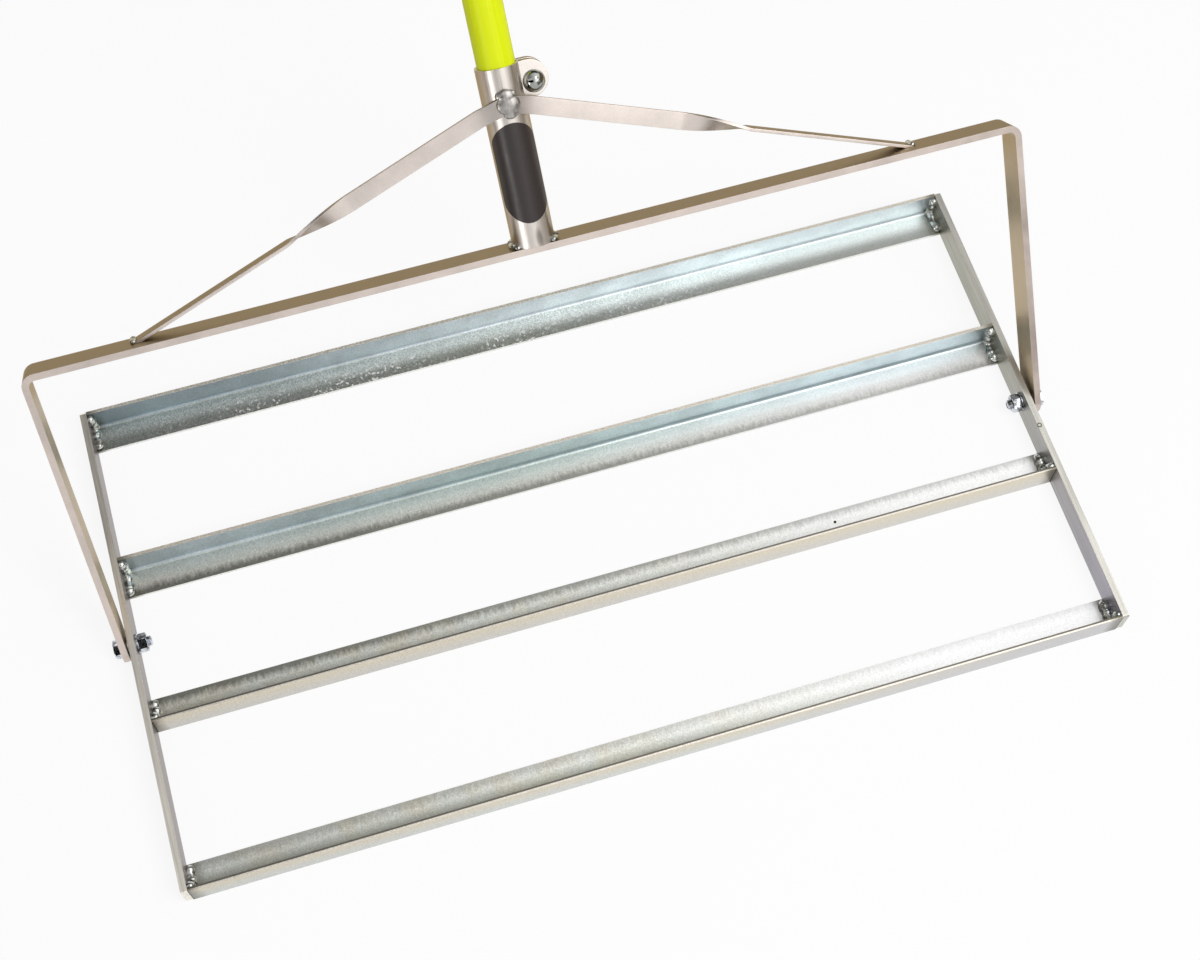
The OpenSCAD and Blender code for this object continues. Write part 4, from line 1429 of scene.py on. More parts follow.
def lime_fibreglass():
    """Pultruded fibreglass."""
    # Lime gel colour with faint long fibre streaks under a satin gloss.
    finish, tree = new_finish("pultruded_fibreglass")
    s = sizes()
    place = add(tree, "ShaderNodeTexCoord")
    fibres = add(
        tree,
        "ShaderNodeMapping",
        {"Vector": place.outputs["Object"], "Rotation": (-s.yoke_angle, 0.0, 0.0)},
    )
    fibres = add(
        tree,
        "ShaderNodeMapping",
        {"Vector": fibres, "Scale": (1 / (1.3 * MM), 1 / (120 * MM), 1 / (1.3 * MM))},
    )
    streak = add(tree, "ShaderNodeTexNoise", {"Vector": fibres, "Scale": 1.0, "Detail": 2.0})
    shade = add(
        tree,
        "ShaderNodeMapRange",
        {"Value": streak, "From Min": 0.3, "From Max": 0.7, "To Min": 0.94, "To Max": 1.04},
    )
    tint = add(
        tree,
        "ShaderNodeMix",
        {0: 1.0, 6: colours().handle, 7: shade},
        data_type="RGBA",
        blend_type="MULTIPLY",
    )
    rough = add(
        tree,
        "ShaderNodeMapRange",
        {"Value": streak, "From Min": 0.3, "From Max": 0.7, "To Min": 0.32, "To Max": 0.44},
    )
    shader = add(
        tree,
        "ShaderNodeBsdfPrincipled",
        {"Base Color": tint, "Roughness": rough, "IOR": 1.52, "Specular IOR Level": 0.22},
    )
    done(tree, shader)
    return finish


def bare_wood():
    """Turned hardwood, bare."""
    # Pale brown with long grain of 3 mm.
    finish, tree = new_finish("turned_hardwood")
    s = sizes()
    place = add(tree, "ShaderNodeTexCoord")
    grain = add(
        tree,
        "ShaderNodeMapping",
        {"Vector": place.outputs["Object"], "Rotation": (-s.yoke_angle, 0.0, 0.0)},
    )
    grain = add(
        tree,
        "ShaderNodeMapping",
        {"Vector": grain, "Scale": (1 / (3 * MM), 1 / (60 * MM), 1 / (3 * MM))},
    )
    ring = add(tree, "ShaderNodeTexNoise", {"Vector": grain, "Scale": 1.0, "Detail": 4.0})
    tint = add(
        tree, "ShaderNodeMix", {0: ring, 6: colours().wood, 7: colours().wood_grain}, data_type="RGBA"
    )
    shader = add(tree, "ShaderNodeBsdfPrincipled", {"Base Color": tint, "Roughness": 0.7})
    done(tree, shader)
    return finish


def black_rubber():
    """Moulded rubber."""
    # Dull black with a fine moulded grain.
    finish, tree = new_finish("moulded_rubber")
    place = add(tree, "ShaderNodeTexCoord")
    grain = add(
        tree,
        "ShaderNodeTexNoise",
        {"Vector": place.outputs["Object"], "Scale": 1 / (0.8 * MM), "Detail": 2.0},
    )
    tint = add(
        tree,
        "ShaderNodeMix",
        {0: grain, 6: colours().rubber, 7: colours().rubber_grain},
        data_type="RGBA",
    )
    bump = add(tree, "ShaderNodeBump", {"Strength": 0.4, "Distance": 0.1 * MM, "Height": grain})
    shader = add(
        tree, "ShaderNodeBsdfPrincipled", {"Base Color": tint, "Roughness": 0.75, "Normal": bump}
    )
    done(tree, shader)
    return finish


# Head


class RAKE_OT_side_plates(bpy.types.Operator):
    """Flat bars that close the head at its two ends"""

    bl_idname = "rake.side_plates"
    bl_label = "Side plates"

    def execute(self, context):
        s = sizes()
        right = begin(
            "right_side_plate_bar",
            bpy.ops.mesh.primitive_cube_add,
            size=1,
            location=(s.plate_face + s.plate_t / 2, 0, s.blade_leg / 2),
            scale=(s.plate_t, s.head_d, s.blade_leg),
        )
        pick(right, "EDGE", lambda e: along(e, (1, 0, 0)))
        bpy.ops.mesh.bevel(offset=s.plate_corner_r, segments=6, affect="EDGES")
        close(right)
        bore_r = s.pivot_d / 2 + 0.05 * MM
        cut(right, rod("bore", pivot_frame(), s.plate_face - MM, s.head_w / 2 + MM, bore_r))
        soften(right, 0.45 * MM)
        left = twin(right, "left_side_plate_bar", HALF_TURN)
        finish = zinc_on_plate()
        set_in(right, finish, "head", "right_side_plate", slot="zinc_plate")
        set_in(left, finish, "head", "left_side_plate", slot="zinc_plate")
        return {"FINISHED"}


class RAKE_OT_blades(bpy.types.Operator):
    """Angle bars between the plates, each with one leg on the ground"""

    bl_idname = "rake.blades"
    bl_label = "Blades"

    def execute(self, context):
        s = sizes()
        back, root = s.head_d / 2, s.head_d / 2 - s.blade_t
        rear = begin(
            "rear_blade_angle",
            bpy.ops.mesh.primitive_cube_add,
            size=1,
            location=(0, back - s.blade_leg / 2, s.blade_t / 2),
            scale=(2 * s.plate_face, s.blade_leg, s.blade_t),
        )
        # The standing leg is drawn up from a strip of the flat one, and their root is rounded
        bpy.ops.mesh.select_all(action="SELECT")
        bpy.ops.mesh.bisect(plane_co=(0, root, 0), plane_no=(0, 1, 0))
        pick(rear, "FACE", lambda f: f.normal.z > 0.9 and f.calc_center_median().y > root)
        extrude((0, 0, s.blade_leg - s.blade_t))
        pick(rear, "EDGE", lambda e: near(middle(e).y, root) and near(middle(e).z, s.blade_t))
        bpy.ops.mesh.bevel(offset=s.blade_root_r, segments=6, affect="EDGES")
        close(rear)
        soften(rear, 0.4 * MM)
        step = Matrix.Translation((0, s.mid_blade_y - back, 0))
        rear_mid = twin(rear, "rear_mid_blade_angle", step)
        front = twin(rear, "front_blade_angle", HALF_TURN)
        front_mid = twin(rear_mid, "front_mid_blade_angle", HALF_TURN)
        finish = zinc_on_angle()
        set_in(rear, finish, "head", "rear_blade", slot="zinc_plate")
        set_in(rear_mid, finish, "head", "rear_mid_blade", slot="zinc_plate")
        set_in(front_mid, finish, "head", "front_mid_blade", slot="zinc_plate")
        set_in(front, finish, "head", "front_blade", slot="zinc_plate")
        return {"FINISHED"}


class RAKE_OT_blade_welds(bpy.types.Operator):
    """The weld at each end of each blade"""

    bl_idname = "rake.blade_welds"
    bl_label = "Blade welds"

    def execute(self, context):
        s = sizes()
        rng = random.Random(11)
        # How far the lumps' middles lie from the plate, the two legs and the ends of the legs
        off_plate, off_standing, off_flat, off_end = 2.2 * MM, 2.5 * MM, 2.3 * MM, 4.5 * MM
        half = (5.4 * MM, 4.8 * MM, 4.6 * MM)
        lumps = []
        for back in (s.head_d / 2, s.mid_blade_y):
            for sign in (1, -1):
                x, z = s.plate_face - off_plate, s.blade_t + off_flat
                root_y = sign * (back - s.blade_t - off_standing)
                path = [
                    (x, sign * (back - s.blade_leg + off_end), z),
                    (x, root_y, z),
                    (x, root_y, s.blade_leg - off_end),
                ]
                lumps += run_of_lumps(path, half, rng, 3 * MM)
        right = bead("right_blade_weld_beads", Matrix(), lumps)
        left = twin(right, "left_blade_weld_beads", HALF_TURN)
        finish = plated_weld()
        set_in(right, finish, "head", "right_blade_welds", slot="weld_metal", room=6 * MM)
        set_in(left, finish, "head", "left_blade_welds", slot="weld_metal", room=6 * MM)
        return {"FINISHED"}


class RAKE_OT_pivots(bpy.types.Operator):
    """Bolts, washers and nuts that the yoke turns on"""

    bl_idname = "rake.pivots"
    bl_label = "Pivots"

    def execute(self, context):
        s = sizes()
        r, tip = s.pivot_d / 2, s.nut_seat - s.pivot_nut_h - s.pivot_bolt_end
        rings = thread(tip, tip + 14 * MM, r, 1.5 * MM)
        shank = turned("right_pivot_bolt_turned", pivot_frame(), rings + [(s.bolt_seat + MM, r)], 48)
        head = hexagon(
            "head", pivot_frame(), s.bolt_seat, s.bolt_seat + s.pivot_head_h, s.pivot_af, ("high",)
        )
        alone(shank)
        head.select_set(True)
        bpy.ops.object.join()
        nut_end = s.nut_seat - s.pivot_nut_h
        nut = hexagon(
            "right_pivot_nut_forged", pivot_frame(), nut_end, s.nut_seat, s.pivot_af, BOTH_ENDS, r * 1.01
        )
        hole = r + 0.05 * MM
        outer = s.pivot_washer_d / 2
        inside = washer("right_nut_washer_disc", pivot_frame(), s.nut_seat, s.plate_face, outer, hole)
        arm_x = s.head_w / 2
        outside = washer(
            "right_arm_washer_disc", pivot_frame(), arm_x, arm_x + s.pivot_washer_t, outer, hole
        )
        finish = bright_fastener()
        for piece, node in (
            (shank, "pivot_bolt"),
            (nut, "pivot_nut"),
            (inside, "nut_washer"),
            (outside, "arm_washer"),
        ):
            other = twin(piece, piece.name.replace("right", "left"), HALF_TURN)
            set_in(piece, finish, "head", f"right_{node}", slot="bright_zinc")
            set_in(other, finish, "head", f"left_{node}", slot="bright_zinc")
        return {"FINISHED"}


# Yoke


class RAKE_OT_yoke_bar(bpy.types.Operator):
    """The flat bar that is bent to a U"""

    bl_idname = "rake.yoke_bar"
    bl_label = "Yoke bar"

    def execute(self, context):
        s = sizes()
        # One half is drawn from an arm's end to the middle of the crossbar, and then mirrored
        lean = math.tan(s.yoke_splay)
        foot = (s.pivot_x - s.arm_end * lean, -s.arm_end, 0)
        bar = begin(
            "yoke_bar_bent",
            bpy.ops.mesh.primitive_plane_add,
            size=1,
            location=foot,
            rotation=(math.pi / 2, 0, -s.yoke_splay),
        )
        bpy.ops.mesh.select_all(action="SELECT")
        bpy.ops.transform.resize(value=(s.yoke_t, s.yoke_t, s.yoke_w), center_override=foot)
        run = s.arm_top_y + s.arm_end
        extrude((run * lean, run, 0))
        bpy.ops.mesh.spin(
            steps=14,
            angle=-math.pi / 2 - s.yoke_splay,
            center=(s.bend_x, s.bend_y, 0),
            axis=(0, 0, 1),
        )
        extrude((-s.bend_x, 0, 0))
        # The arm's end is rounded
        half = s.yoke_w / 2
        pick(
            bar,
            "EDGE",
            lambda e: near(middle(e).y, -s.arm_end, 0.5 * MM) and near(abs(middle(e).z), half, 0.1 * MM),
        )
        bpy.ops.mesh.bevel(offset=half * 0.995, segments=9, affect="EDGES", clamp_overlap=False)
        pick(bar, "FACE", lambda f: near(f.calc_center_median().x, 0) and abs(f.normal.x) > 0.9)
        bpy.ops.mesh.delete(type="FACE")
        close(bar)
        modify(bar, "MIRROR", use_axis=(True, False, False), use_clip=True, merge_threshold=1e-5)
        alone(bar)
        bpy.ops.object.mode_set(mode="EDIT")
        close(bar)
        stand(bar, yoke_frame())
        reach = s.yoke_half_w + 5 * MM
        cut(bar, rod("bore", pivot_frame(), -reach, reach, s.pivot_d / 2 + 0.08 * MM))
        soften(bar, 0.7 * MM, 3)
        finish = satin_bar("satin_plated_flat_bar", colours().bar_light)
        set_in(bar, finish, "yoke", "yoke_bar", slot="satin_steel")
        return {"FINISHED"}


class RAKE_OT_socket_tube(bpy.types.Operator):
    """The slit tube that takes the handle"""

    bl_idname = "rake.socket_tube"
    bl_label = "Socket tube"

    def execute(self, context):
        s = sizes()
        tube = begin(
            "socket_tube_drawn",
            bpy.ops.mesh.primitive_cylinder_add,
            vertices=128,
            radius=s.socket_r,
            depth=s.socket_len,
            end_fill_type="NOTHING",
            location=(0, 0, s.yoke_reach + s.socket_len / 2),
        )
        close(tube)
        modify(tube, "SOLIDIFY", thickness=s.socket_wall, offset=-1)
        slit_foot = s.lug_y - s.lug_r - s.slit_past
        slit = begin(
            "slit",
            bpy.ops.mesh.primitive_cube_add,
            size=1,
            location=(s.socket_r, 0, (slit_foot + s.socket_rim + MM) / 2),
            scale=(s.socket_r, s.slit_w, s.socket_rim + MM - slit_foot),
        )
        close(slit)
        cut(tube, slit)
        soften(tube, 0.35 * MM, degrees=60)
        stand(tube, tube_frame())
        set_in(tube, satin_tube(), "yoke", "socket_tube", slot="satin_steel")
        return {"FINISHED"}


class RAKE_OT_braces(bpy.types.Operator):
    """Flat bars with a quarter twist, from the socket to the crossbar"""

    bl_idname = "rake.braces"
    bl_label = "Braces"

    def execute(self, context):
        s = sizes()
        run = s.brace_foot - s.brace_bend
        outer_len = run.length
        # The twist's middle as a share of the outer stretch, and spare bar that is cut off at the foot
        twist_share, past_foot, steps = 0.466, 25 * MM, 24
        twist_start = outer_len * twist_share - s.brace_twist_len / 2
        right = begin(
            "right_brace_twisted", bpy.ops.mesh.primitive_plane_add, size=1, rotation=(0, math.pi / 2, 0)
        )
        bpy.ops.mesh.select_all(action="SELECT")
        bpy.ops.transform.resize(value=(1, s.brace_w, s.brace_t), center_override=(0, 0, 0))
        extrude((twist_start, 0, 0))
        for i in range(steps):
            extrude((s.brace_twist_len / steps, 0, 0))
            centre = (twist_start + s.brace_twist_len * (i + 1) / steps, 0, 0)
            bpy.ops.transform.rotate(
                value=-math.pi / 2 / steps, orient_axis="X", orient_type="GLOBAL", center_override=centre
            )
        extrude((outer_len - twist_start - s.brace_twist_len + past_foot, 0, 0))
        close(right)
        # From along X to its place, where the twisted end lies on the crossbar
        way = run.normalized()
        face = Vector((-way.z, 0, way.x)).normalized()
        across = face.cross(way)
        columns = Matrix((way, across, face)).transposed().to_4x4()
        stand(right, Matrix.Translation(s.brace_bend) @ columns)
        bpy.ops.object.mode_set(mode="EDIT")
        # The inner stretch runs on from the bend to the socket's front, and both ends are sawn off
        pick(right, "FACE", lambda f: f.normal.dot(way) < -0.9)
        extrude(s.brace_top - s.brace_bend)
        bpy.ops.mesh.select_all(action="SELECT")
        bpy.ops.mesh.bisect(
            plane_co=(s.brace_split / 2, 0, 0), plane_no=(1, 0, 0), use_fill=True, clear_inner=True
        )
        bpy.ops.mesh.select_all(action="SELECT")
        bpy.ops.mesh.bisect(
            plane_co=(0, s.yoke_reach, 0), plane_no=(0, 1, 0), use_fill=True, clear_inner=True
        )
        close(right)
        soften(right, 0.45 * MM, 2, 50)
        left = twin(right, "left_brace_twisted", LEFT)
        stand(right, yoke_frame())
        stand(left, yoke_frame())
        finish = satin_bar("satin_plated_brace_bar", colours().brace_light, 0.6)
        set_in(right, finish, "yoke", "right_brace", slot="satin_steel", room=2.5 * MM)
        set_in(left, finish, "yoke", "left_brace", slot="satin_steel", room=2.5 * MM)
        return {"FINISHED"}


class RAKE_OT_yoke_welds(bpy.types.Operator):
    """Welds at the socket's foot, where the braces meet and at the braces' feet"""

    bl_idname = "rake.yoke_welds"
    bl_label = "Yoke welds"

    def execute(self, context):
        s = sizes()
        rng = random.Random(5)
        finish = bpy.data.materials["plated_weld_metal"]
        # An arc on each side of the socket's foot
        arc_r, arc_y = s.socket_r + 1.2 * MM, s.yoke_reach + 1.3 * MM
        lumps = []
        for side in (0, math.pi):
            angles = [side + math.radians(a) for a in (-40, -20, 0, 20, 40)]
            arc = [(arc_r * math.cos(a), arc_y, arc_r * math.sin(a)) for a in angles]
            lumps += run_of_lumps(arc, (3.1 * MM, 2.9 * MM, 3.1 * MM), rng)
        foot = bead("socket_weld_beads", yoke_frame(), lumps)
        set_in(foot, finish, "yoke", "socket_weld", slot="weld_metal", room=5 * MM)

        top, front = s.brace_top.y, s.brace_top.z + s.brace_t / 2
        # Five lumps, in millimetres: across, above and behind the braces' front, then the half sizes
        lumps = [
            (Vector((x * MM, top + y * MM, front - z * MM)), (a * MM, b * MM, c * MM))
            for x, y, z, a, b, c in (
                (-6.8, 7.6, 5.0, 3.4, 3.4, 2.8),
                (6.0, 8.0, 4.4, 3.6, 3.2, 3.0),
                (0.0, 6.0, 3.4, 8.0, 7.0, 3.6),
                (0.4, -1.0, 3.2, 11.0, 9.5, 3.6),
                (1.0, -9.0, 4.4, 7.0, 5.4, 3.6),
            )
        ]
        centre = bead("brace_centre_weld_bead", yoke_frame(), lumps)
        set_in(centre, dressed_weld(), "yoke", "brace_centre_weld", slot="weld_metal", room=8 * MM)

        # A short run beside each brace's foot
        feet = []
        for sign in (1, -1):
            x, y = sign * (s.brace_foot.x + 3.2 * MM), s.yoke_reach + 1.2 * MM
            path = [(x, y, s.brace_foot.z - 6 * MM), (x, y, s.brace_foot.z + 6.6 * MM)]
            feet += run_of_lumps(path, (3.0 * MM, 2.2 * MM, 2.4 * MM), rng)
        ends = bead("brace_foot_weld_beads", yoke_frame(), feet)
        set_in(ends, finish, "yoke", "brace_foot_welds", slot="weld_metal", room=6 * MM)
        return {"FINISHED"}


class RAKE_OT_clamp(bpy.types.Operator):
    """Lugs, bolt, washer and nut that close the socket on the handle"""

    bl_idname = "rake.clamp"
    bl_label = "Clamp"

    def execute(self, context):
        s = sizes()
        tip, inner = s.lug_x + s.lug_end, s.socket_r - 2 * MM
        lug = begin(
            "front_clamp_lug_cut",
            bpy.ops.mesh.primitive_cube_add,
            size=1,
            location=((inner + tip) / 2, s.lug_y, s.slit_w / 2 + s.lug_t / 2),
            scale=(tip - inner, 2 * s.lug_r, s.lug_t),
        )
        pick(lug, "EDGE", lambda e: along(e, (0, 0, 1)) and near(middle(e).x, tip, 0.1 * MM))
        bpy.ops.mesh.bevel(offset=s.lug_r * 0.998, segments=14, affect="EDGES", clamp_overlap=False)
        close(lug)
        soften(lug, 0.6 * MM)
        rear = twin(lug, "rear_clamp_lug_cut", Matrix.Scale(-1, 4, (0, 0, 1)))
        for piece in (lug, rear):
            stand(piece, yoke_frame())
        finish = satin_bar("satin_plated_clamp_lug", colours().lug_light)
        set_in(lug, finish, "yoke", "front_clamp_lug", slot="satin_steel", room=4 * MM)
        set_in(rear, finish, "yoke", "rear_clamp_lug", slot="satin_steel", room=4 * MM)

        r = s.clamp_d / 2
        nut_high = -s.lug_face - s.clamp_washer_t
        nut_low = nut_high - s.clamp_nut_h
        bolt_tip = nut_low - s.clamp_bolt_end
        # The bolt is turned from its tip to its dome
        ball = (s.dome_d**2 / 4 + s.dome_h**2) / (2 * s.dome_h)
        base = s.lug_face + s.dome_h - ball
        rim = math.asin((s.lug_face - base) / ball)
        rings = thread(bolt_tip, nut_low + 1.5 * MM, r, 1.25 * MM)
        rings += [(s.lug_face, r), (s.lug_face, s.dome_d / 2 - 0.3 * MM)]
        bolt = turned("clamp_bolt_domed", clamp_frame(), rings + crown(base, ball, rim, 18), 72)
        set_in(bolt, polished_dome(), "yoke", "clamp_bolt", slot="polished_steel")
        bright = bpy.data.materials["zinc_plated_fastener"]
        hole, outer = r + 0.05 * MM, s.clamp_washer_d / 2
        disc = washer("clamp_washer_disc", clamp_frame(), nut_high, -s.lug_face, outer, hole)
        set_in(disc, bright, "yoke", "clamp_washer", slot="bright_zinc")
        nut = hexagon(
            "clamp_nut_forged", clamp_frame(), nut_low, nut_high, s.clamp_nut_af, BOTH_ENDS, r * 1.01
        )
        set_in(nut, bright, "yoke", "clamp_nut", slot="bright_zinc")
        return {"FINISHED"}


class RAKE_OT_label(bpy.types.Operator):
    """The bare oval label on the socket tube, which keeps its solid"""

    bl_idname = "rake.label"
    bl_label = "Label"

    def execute(self, context):
        dress(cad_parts["label"], label_film())
        return {"FINISHED"}


# Handle


class RAKE_OT_handle(bpy.types.Operator):
    """The round handle, its core, which keeps its solid, and its end plug"""

    bl_idname = "rake.handle"
    bl_label = "Handle"

    def execute(self, context):
        s = sizes()
        r, foot = s.handle_d / 2, s.handle_foot
        top = foot + s.handle_len
        tube = begin(
            "handle_tube_pultruded",
            bpy.ops.mesh.primitive_cylinder_add,
            vertices=128,
            radius=r,
            depth=s.handle_len,
            end_fill_type="NOTHING",
            location=(0, 0, foot + s.handle_len / 2),
        )
        close(tube)
        modify(tube, "SOLIDIFY", thickness=s.handle_wall, offset=-1)
        soften(tube, 0.3 * MM, degrees=60)
        stand(tube, tube_frame())
        set_in(tube, lime_fibreglass(), "handle", "handle_tube", slot="yellow_fibreglass")
        dress(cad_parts["handle_core"], bare_wood())
        # The plug has a stem inside the tube and a domed cap as wide as the tube
        plug_r = r - s.handle_wall - 0.05 * MM
        ball = s.handle_d
        base = top + s.end_cap_h - ball
        start = math.acos(r * 0.985 / ball)
        rings = [
            (top - s.end_plug_len, plug_r - 0.8 * MM),
            (top - s.end_plug_len + 0.8 * MM, plug_r),
            (top, plug_r),
            (top, r - 0.3 * MM),
            (top + 0.3 * MM, r),
            (base + ball * math.sin(math.acos(r / ball)) - 0.2 * MM, r),
        ]
        plug = turned("handle_end_plug_moulded", tube_frame(), rings + crown(base, ball, start, 14), 72)
        set_in(plug, black_rubber(), "handle", "handle_end_plug", slot="black_rubber")
        return {"FINISHED"}


# Stage


class RAKE_OT_stage(bpy.types.Operator):
    """Floor, light and the camera"""

    bl_idname = "rake.stage"
    bl_label = "Stage"

    def execute(self, context):
        scene = context.scene
        st = scene.rake_stage
        scene.view_settings.view_transform = "Standard"
        camera = bpy.data.cameras.new("camera")
        camera.sensor_width = 36
        camera.lens = st.camera_lens
        camera_object = bpy.data.objects.new("camera", camera)
        camera_object.location = st.camera_place
        camera_object.rotation_euler = st.camera_turn
        scene.collection.objects.link(camera_object)
        scene.camera = camera_object
        self.floor()
        self.sky(scene, st)
        self.lamps(scene, st)
        self.cards()
        return {"FINISHED"}

    def shown(self, tree):
        """1 for what the camera, mirrors and glass see, 0 for the light that falls on dull surfaces."""
        path = add(tree, "ShaderNodeLightPath")
        seen = add(
            tree,
            "ShaderNodeMath",
            {0: path.outputs["Is Camera Ray"], 1: path.outputs["Is Glossy Ray"]},
            operation="MAXIMUM",
        )
        return add(
            tree,
            "ShaderNodeMath",
            {0: seen, 1: path.outputs["Is Transmission Ray"]},
            operation="MAXIMUM",
        )

    def floor(self):
        """A paper floor, just under the ground so that the blades' undersides stay clear of it."""
        floor = begin("floor", bpy.ops.mesh.primitive_plane_add, size=14, location=(0, 0, -0.0002))
        bpy.ops.mesh.subdivide(number_cuts=1)
        close(floor)
        # White paper sweep: bright to the eye, and still darker under the rake
        finish, tree = new_finish("white_paper_sweep")
        seen = self.shown(tree)
        glow = 0.88
        share = add(tree, "ShaderNodeMath", {0: seen, 1: glow}, operation="MULTIPLY")
        paper = add(tree, "ShaderNodeBsdfDiffuse", {"Color": srgb("#f6f6f6")})
        bright = add(tree, "ShaderNodeEmission", {"Color": (1, 1, 1, 1), "Strength": 1.0})
        both = add(tree, "ShaderNodeMixShader", {0: share, 1: paper, 2: bright})
        done(tree, both)
        dress(floor, finish)

    def sky(self, scene, st):
        """White all round, dimmer as a light than it looks."""
        world = bpy.data.worlds.new("even_white")
        scene.world = world
        world.use_nodes = True
        tree = world.node_tree
        tree.nodes.clear()
        seen = self.shown(tree)
        strength = add(tree, "ShaderNodeMapRange", {"Value": seen, "To Min": st.sky, "To Max": 1.0})
        light = add(tree, "ShaderNodeBackground", {"Color": (1, 1, 1, 1), "Strength": strength})
        add(tree, "ShaderNodeOutputWorld", {"Surface": light})

    def lamps(self, scene, st):
        """The soft key light, which the metal doesn't mirror."""
        key = bpy.data.lights.new("soft_key", "AREA")
        key.shape = "DISK"
        key.size = st.key_size
        key.energy = st.key_power
        key_object = bpy.data.objects.new("soft_key", key)
        key_object.location = st.key_place
        aim = Vector(st.key_aim) - Vector(st.key_place)
        key_object.rotation_mode = "QUATERNION"
        key_object.rotation_quaternion = aim.to_track_quat("-Z", "Y")
        key_object.visible_glossy = False
        scene.collection.objects.link(key_object)

    def card(self, name, low, high):
        """A flat card between two corners, seen only in bright metal."""
        low, high = Vector(low), Vector(high)
        centre, size = (low + high) / 2, high - low
        thin = min(range(3), key=lambda axis: size[axis])
        lean = ((0, math.pi / 2, 0), (math.pi / 2, 0, 0), (0, 0, 0))[thin]
        card = begin(name, bpy.ops.mesh.primitive_plane_add, size=1, location=centre, rotation=lean)
        bpy.ops.mesh.select_all(action="SELECT")
        grow = [1 if axis == thin else size[axis] for axis in range(3)]
        bpy.ops.transform.resize(value=grow, center_override=centre)
        bpy.ops.mesh.subdivide(number_cuts=1)
        close(card)
        card.visible_camera = False
        card.visible_diffuse = False
        card.visible_shadow = False
        card.visible_transmission = False
        return card

    def cards(self):
        """Cards round the rake that give its bright metal something to mirror."""
        for name, low, high, shade, strength in (
            ("card_left", (-1.6, -0.55, 0.0), (-1.6, 2.4, 1.3), "#84735f", 1.0),
            ("card_left_soft", (-1.6, -1.4, 0.35), (-1.6, -0.75, 1.1), "#ffffff", 5.0),
            ("card_right", (1.5, -0.8, 0.0), (1.5, 2.0, 1.2), "#857a66", 1.0),
            ("card_front_right", (1.0, -2.0, 0.0), (3.0, -2.0, 1.25), "#8a8079", 1.0),
            ("card_ground_behind", (-1.5, 0.3, 0.004), (1.5, 1.6, 0.004), "#d9cbaf", 1.0),
            ("card_small_soft", (0.4, -0.7, 1.86), (0.95, 0.05, 1.86), "#ffffff", 4.5),
        ):
            card = self.card(name, low, high)
            finish, tree = new_finish(f"{name}_board")
            done(tree, add(tree, "ShaderNodeEmission", {"Color": srgb(shade), "Strength": strength}))
            dress(card, finish)
        # Three sheets that are dull on the left and bright on the right: one overhead, which also dulls
        # towards the back, one over the camera and one in front. Each has two corners, two places on X
        # with their strengths, and two places on Y with the shares of it that are left there.
        for name, low, high, (x0, x1), (left, right), (y0, y1), (front, back) in (
            (
                "card_overhead",
                (-3.0, -0.3, 2.6),
                (3.2, 4.0, 2.6),
                (-1.0, 1.4),
                (0.38, 1.47),
                (1.1, 1.75),
                (1.08, 0.06),
            ),
            (
                "card_over_camera",
                (-3.0, -2.2, 1.9),
                (2.0, -0.75, 1.9),
                (-0.5, 0.85),
                (0.0, 2.6),
                (0.0, 1.0),
                (1.0, 1.0),
            ),
            (
                "card_front_soft",
                (-2.2, -2.3, 0.5),
                (0.9, -2.3, 2.2),
                (-1.6, 0.3),
                (0.8, 1.1),
                (0.0, 1.0),
                (1.0, 1.0),
            ),
        ):
            sheet = self.card(name, low, high)
            finish, tree = new_finish(f"{name}_sheet")
            place = add(tree, "ShaderNodeTexCoord")
            at = add(tree, "ShaderNodeSeparateXYZ", {0: place.outputs["Object"]})
            sideways = add(
                tree,
                "ShaderNodeMapRange",
                {
                    "Value": at.outputs["X"],
                    "From Min": x0,
                    "From Max": x1,
                    "To Min": left,
                    "To Max": right,
                },
            )
            behind = add(
                tree,
                "ShaderNodeMapRange",
                {
                    "Value": at.outputs["Y"],
                    "From Min": y0,
                    "From Max": y1,
                    "To Min": front,
                    "To Max": back,
                },
            )
            strength = add(tree, "ShaderNodeMath", {0: sideways, 1: behind}, operation="MULTIPLY")
            shader = add(tree, "ShaderNodeEmission", {"Color": (1, 1, 1, 1), "Strength": strength})
            done(tree, shader)
            dress(sheet, finish)


OPERATORS = (
    RAKE_OT_stage,
    RAKE_OT_side_plates,
    RAKE_OT_blades,
    RAKE_OT_blade_welds,
    RAKE_OT_pivots,
    RAKE_OT_yoke_bar,
    RAKE_OT_socket_tube,
    RAKE_OT_braces,
    RAKE_OT_yoke_welds,
    RAKE_OT_clamp,
    RAKE_OT_label,
    RAKE_OT_handle,
)


class VIEW3D_PT_rake(bpy.types.Panel):
    """The rake's pieces, in the order they are built"""

    bl_idname = "VIEW3D_PT_rake"
    bl_label = "Lawn leveling rake"
    bl_space_type = "VIEW_3D"
    bl_region_type = "UI"
    bl_category = "Rake"

    def draw(self, context):
        for operator in OPERATORS:
            self.layout.operator(operator.bl_idname)


CLASSES = (RakeSizes, RakeColours, RakeStage, *OPERATORS, VIEW3D_PT_rake)


def register():
    """Registers the classes and gives the scene its settings."""
    for cls in CLASSES:
        bpy.utils.register_class(cls)
    bpy.types.Scene.rake_sizes = bpy.props.PointerProperty(type=RakeSizes)
    bpy.types.Scene.rake_colours = bpy.props.PointerProperty(type=RakeColours)
    bpy.types.Scene.rake_stage = bpy.props.PointerProperty(type=RakeStage)


def unregister():
    """Takes the settings and the classes away again."""
    del bpy.types.Scene.rake_stage
    del bpy.types.Scene.rake_colours
    del bpy.types.Scene.rake_sizes
    for cls in reversed(CLASSES):
        bpy.utils.unregister_class(cls)


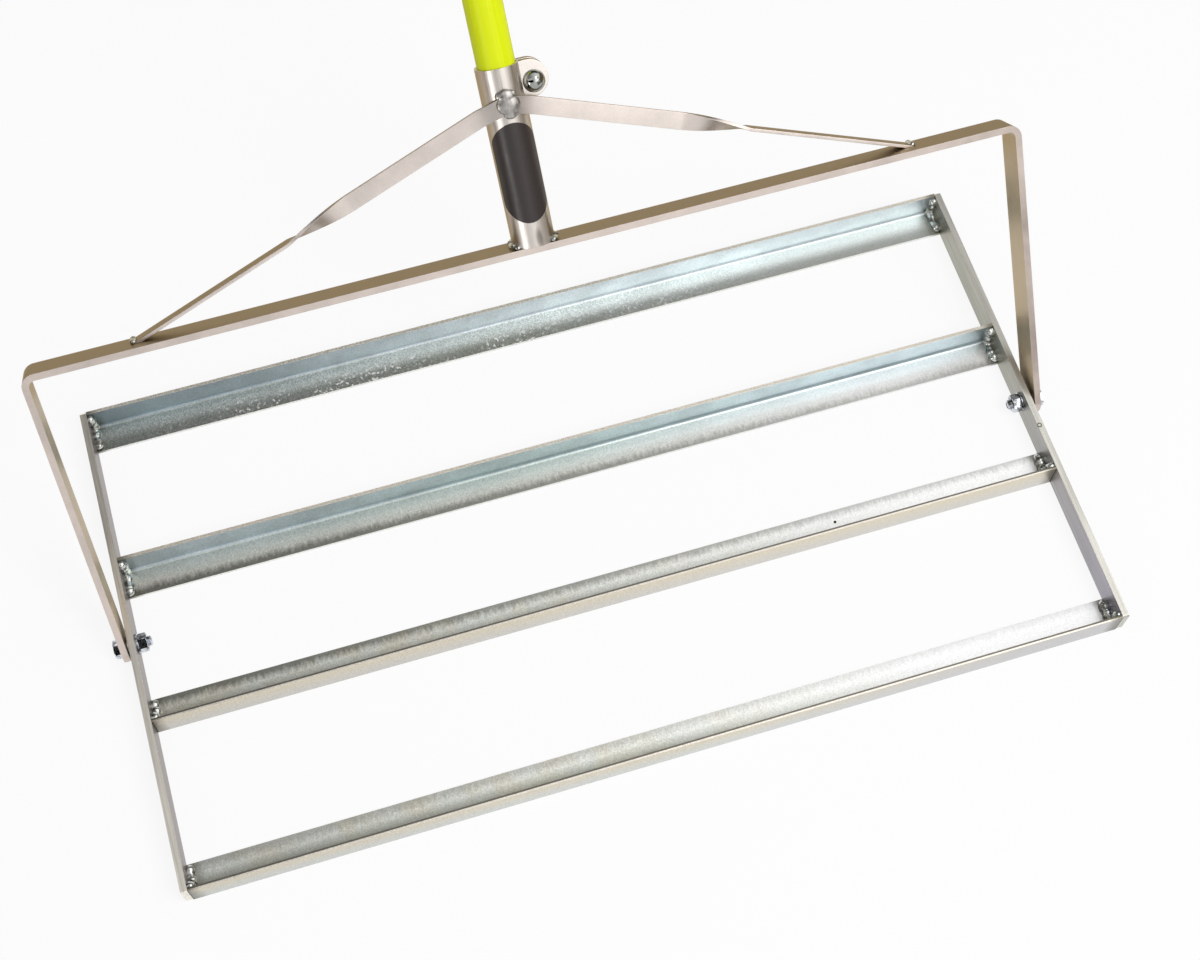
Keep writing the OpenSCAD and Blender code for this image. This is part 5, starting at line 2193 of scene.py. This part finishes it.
def main():
    """Builds the stage and the rake in order."""
    register()
    bpy.ops.rake.stage()
    bpy.ops.rake.side_plates()
    bpy.ops.rake.blades()
    bpy.ops.rake.blade_welds()
    bpy.ops.rake.pivots()
    bpy.ops.rake.yoke_bar()
    bpy.ops.rake.socket_tube()
    bpy.ops.rake.braces()
    bpy.ops.rake.yoke_welds()
    bpy.ops.rake.clamp()
    bpy.ops.rake.label()
    bpy.ops.rake.handle()


if __name__ == "__main__":
    main()
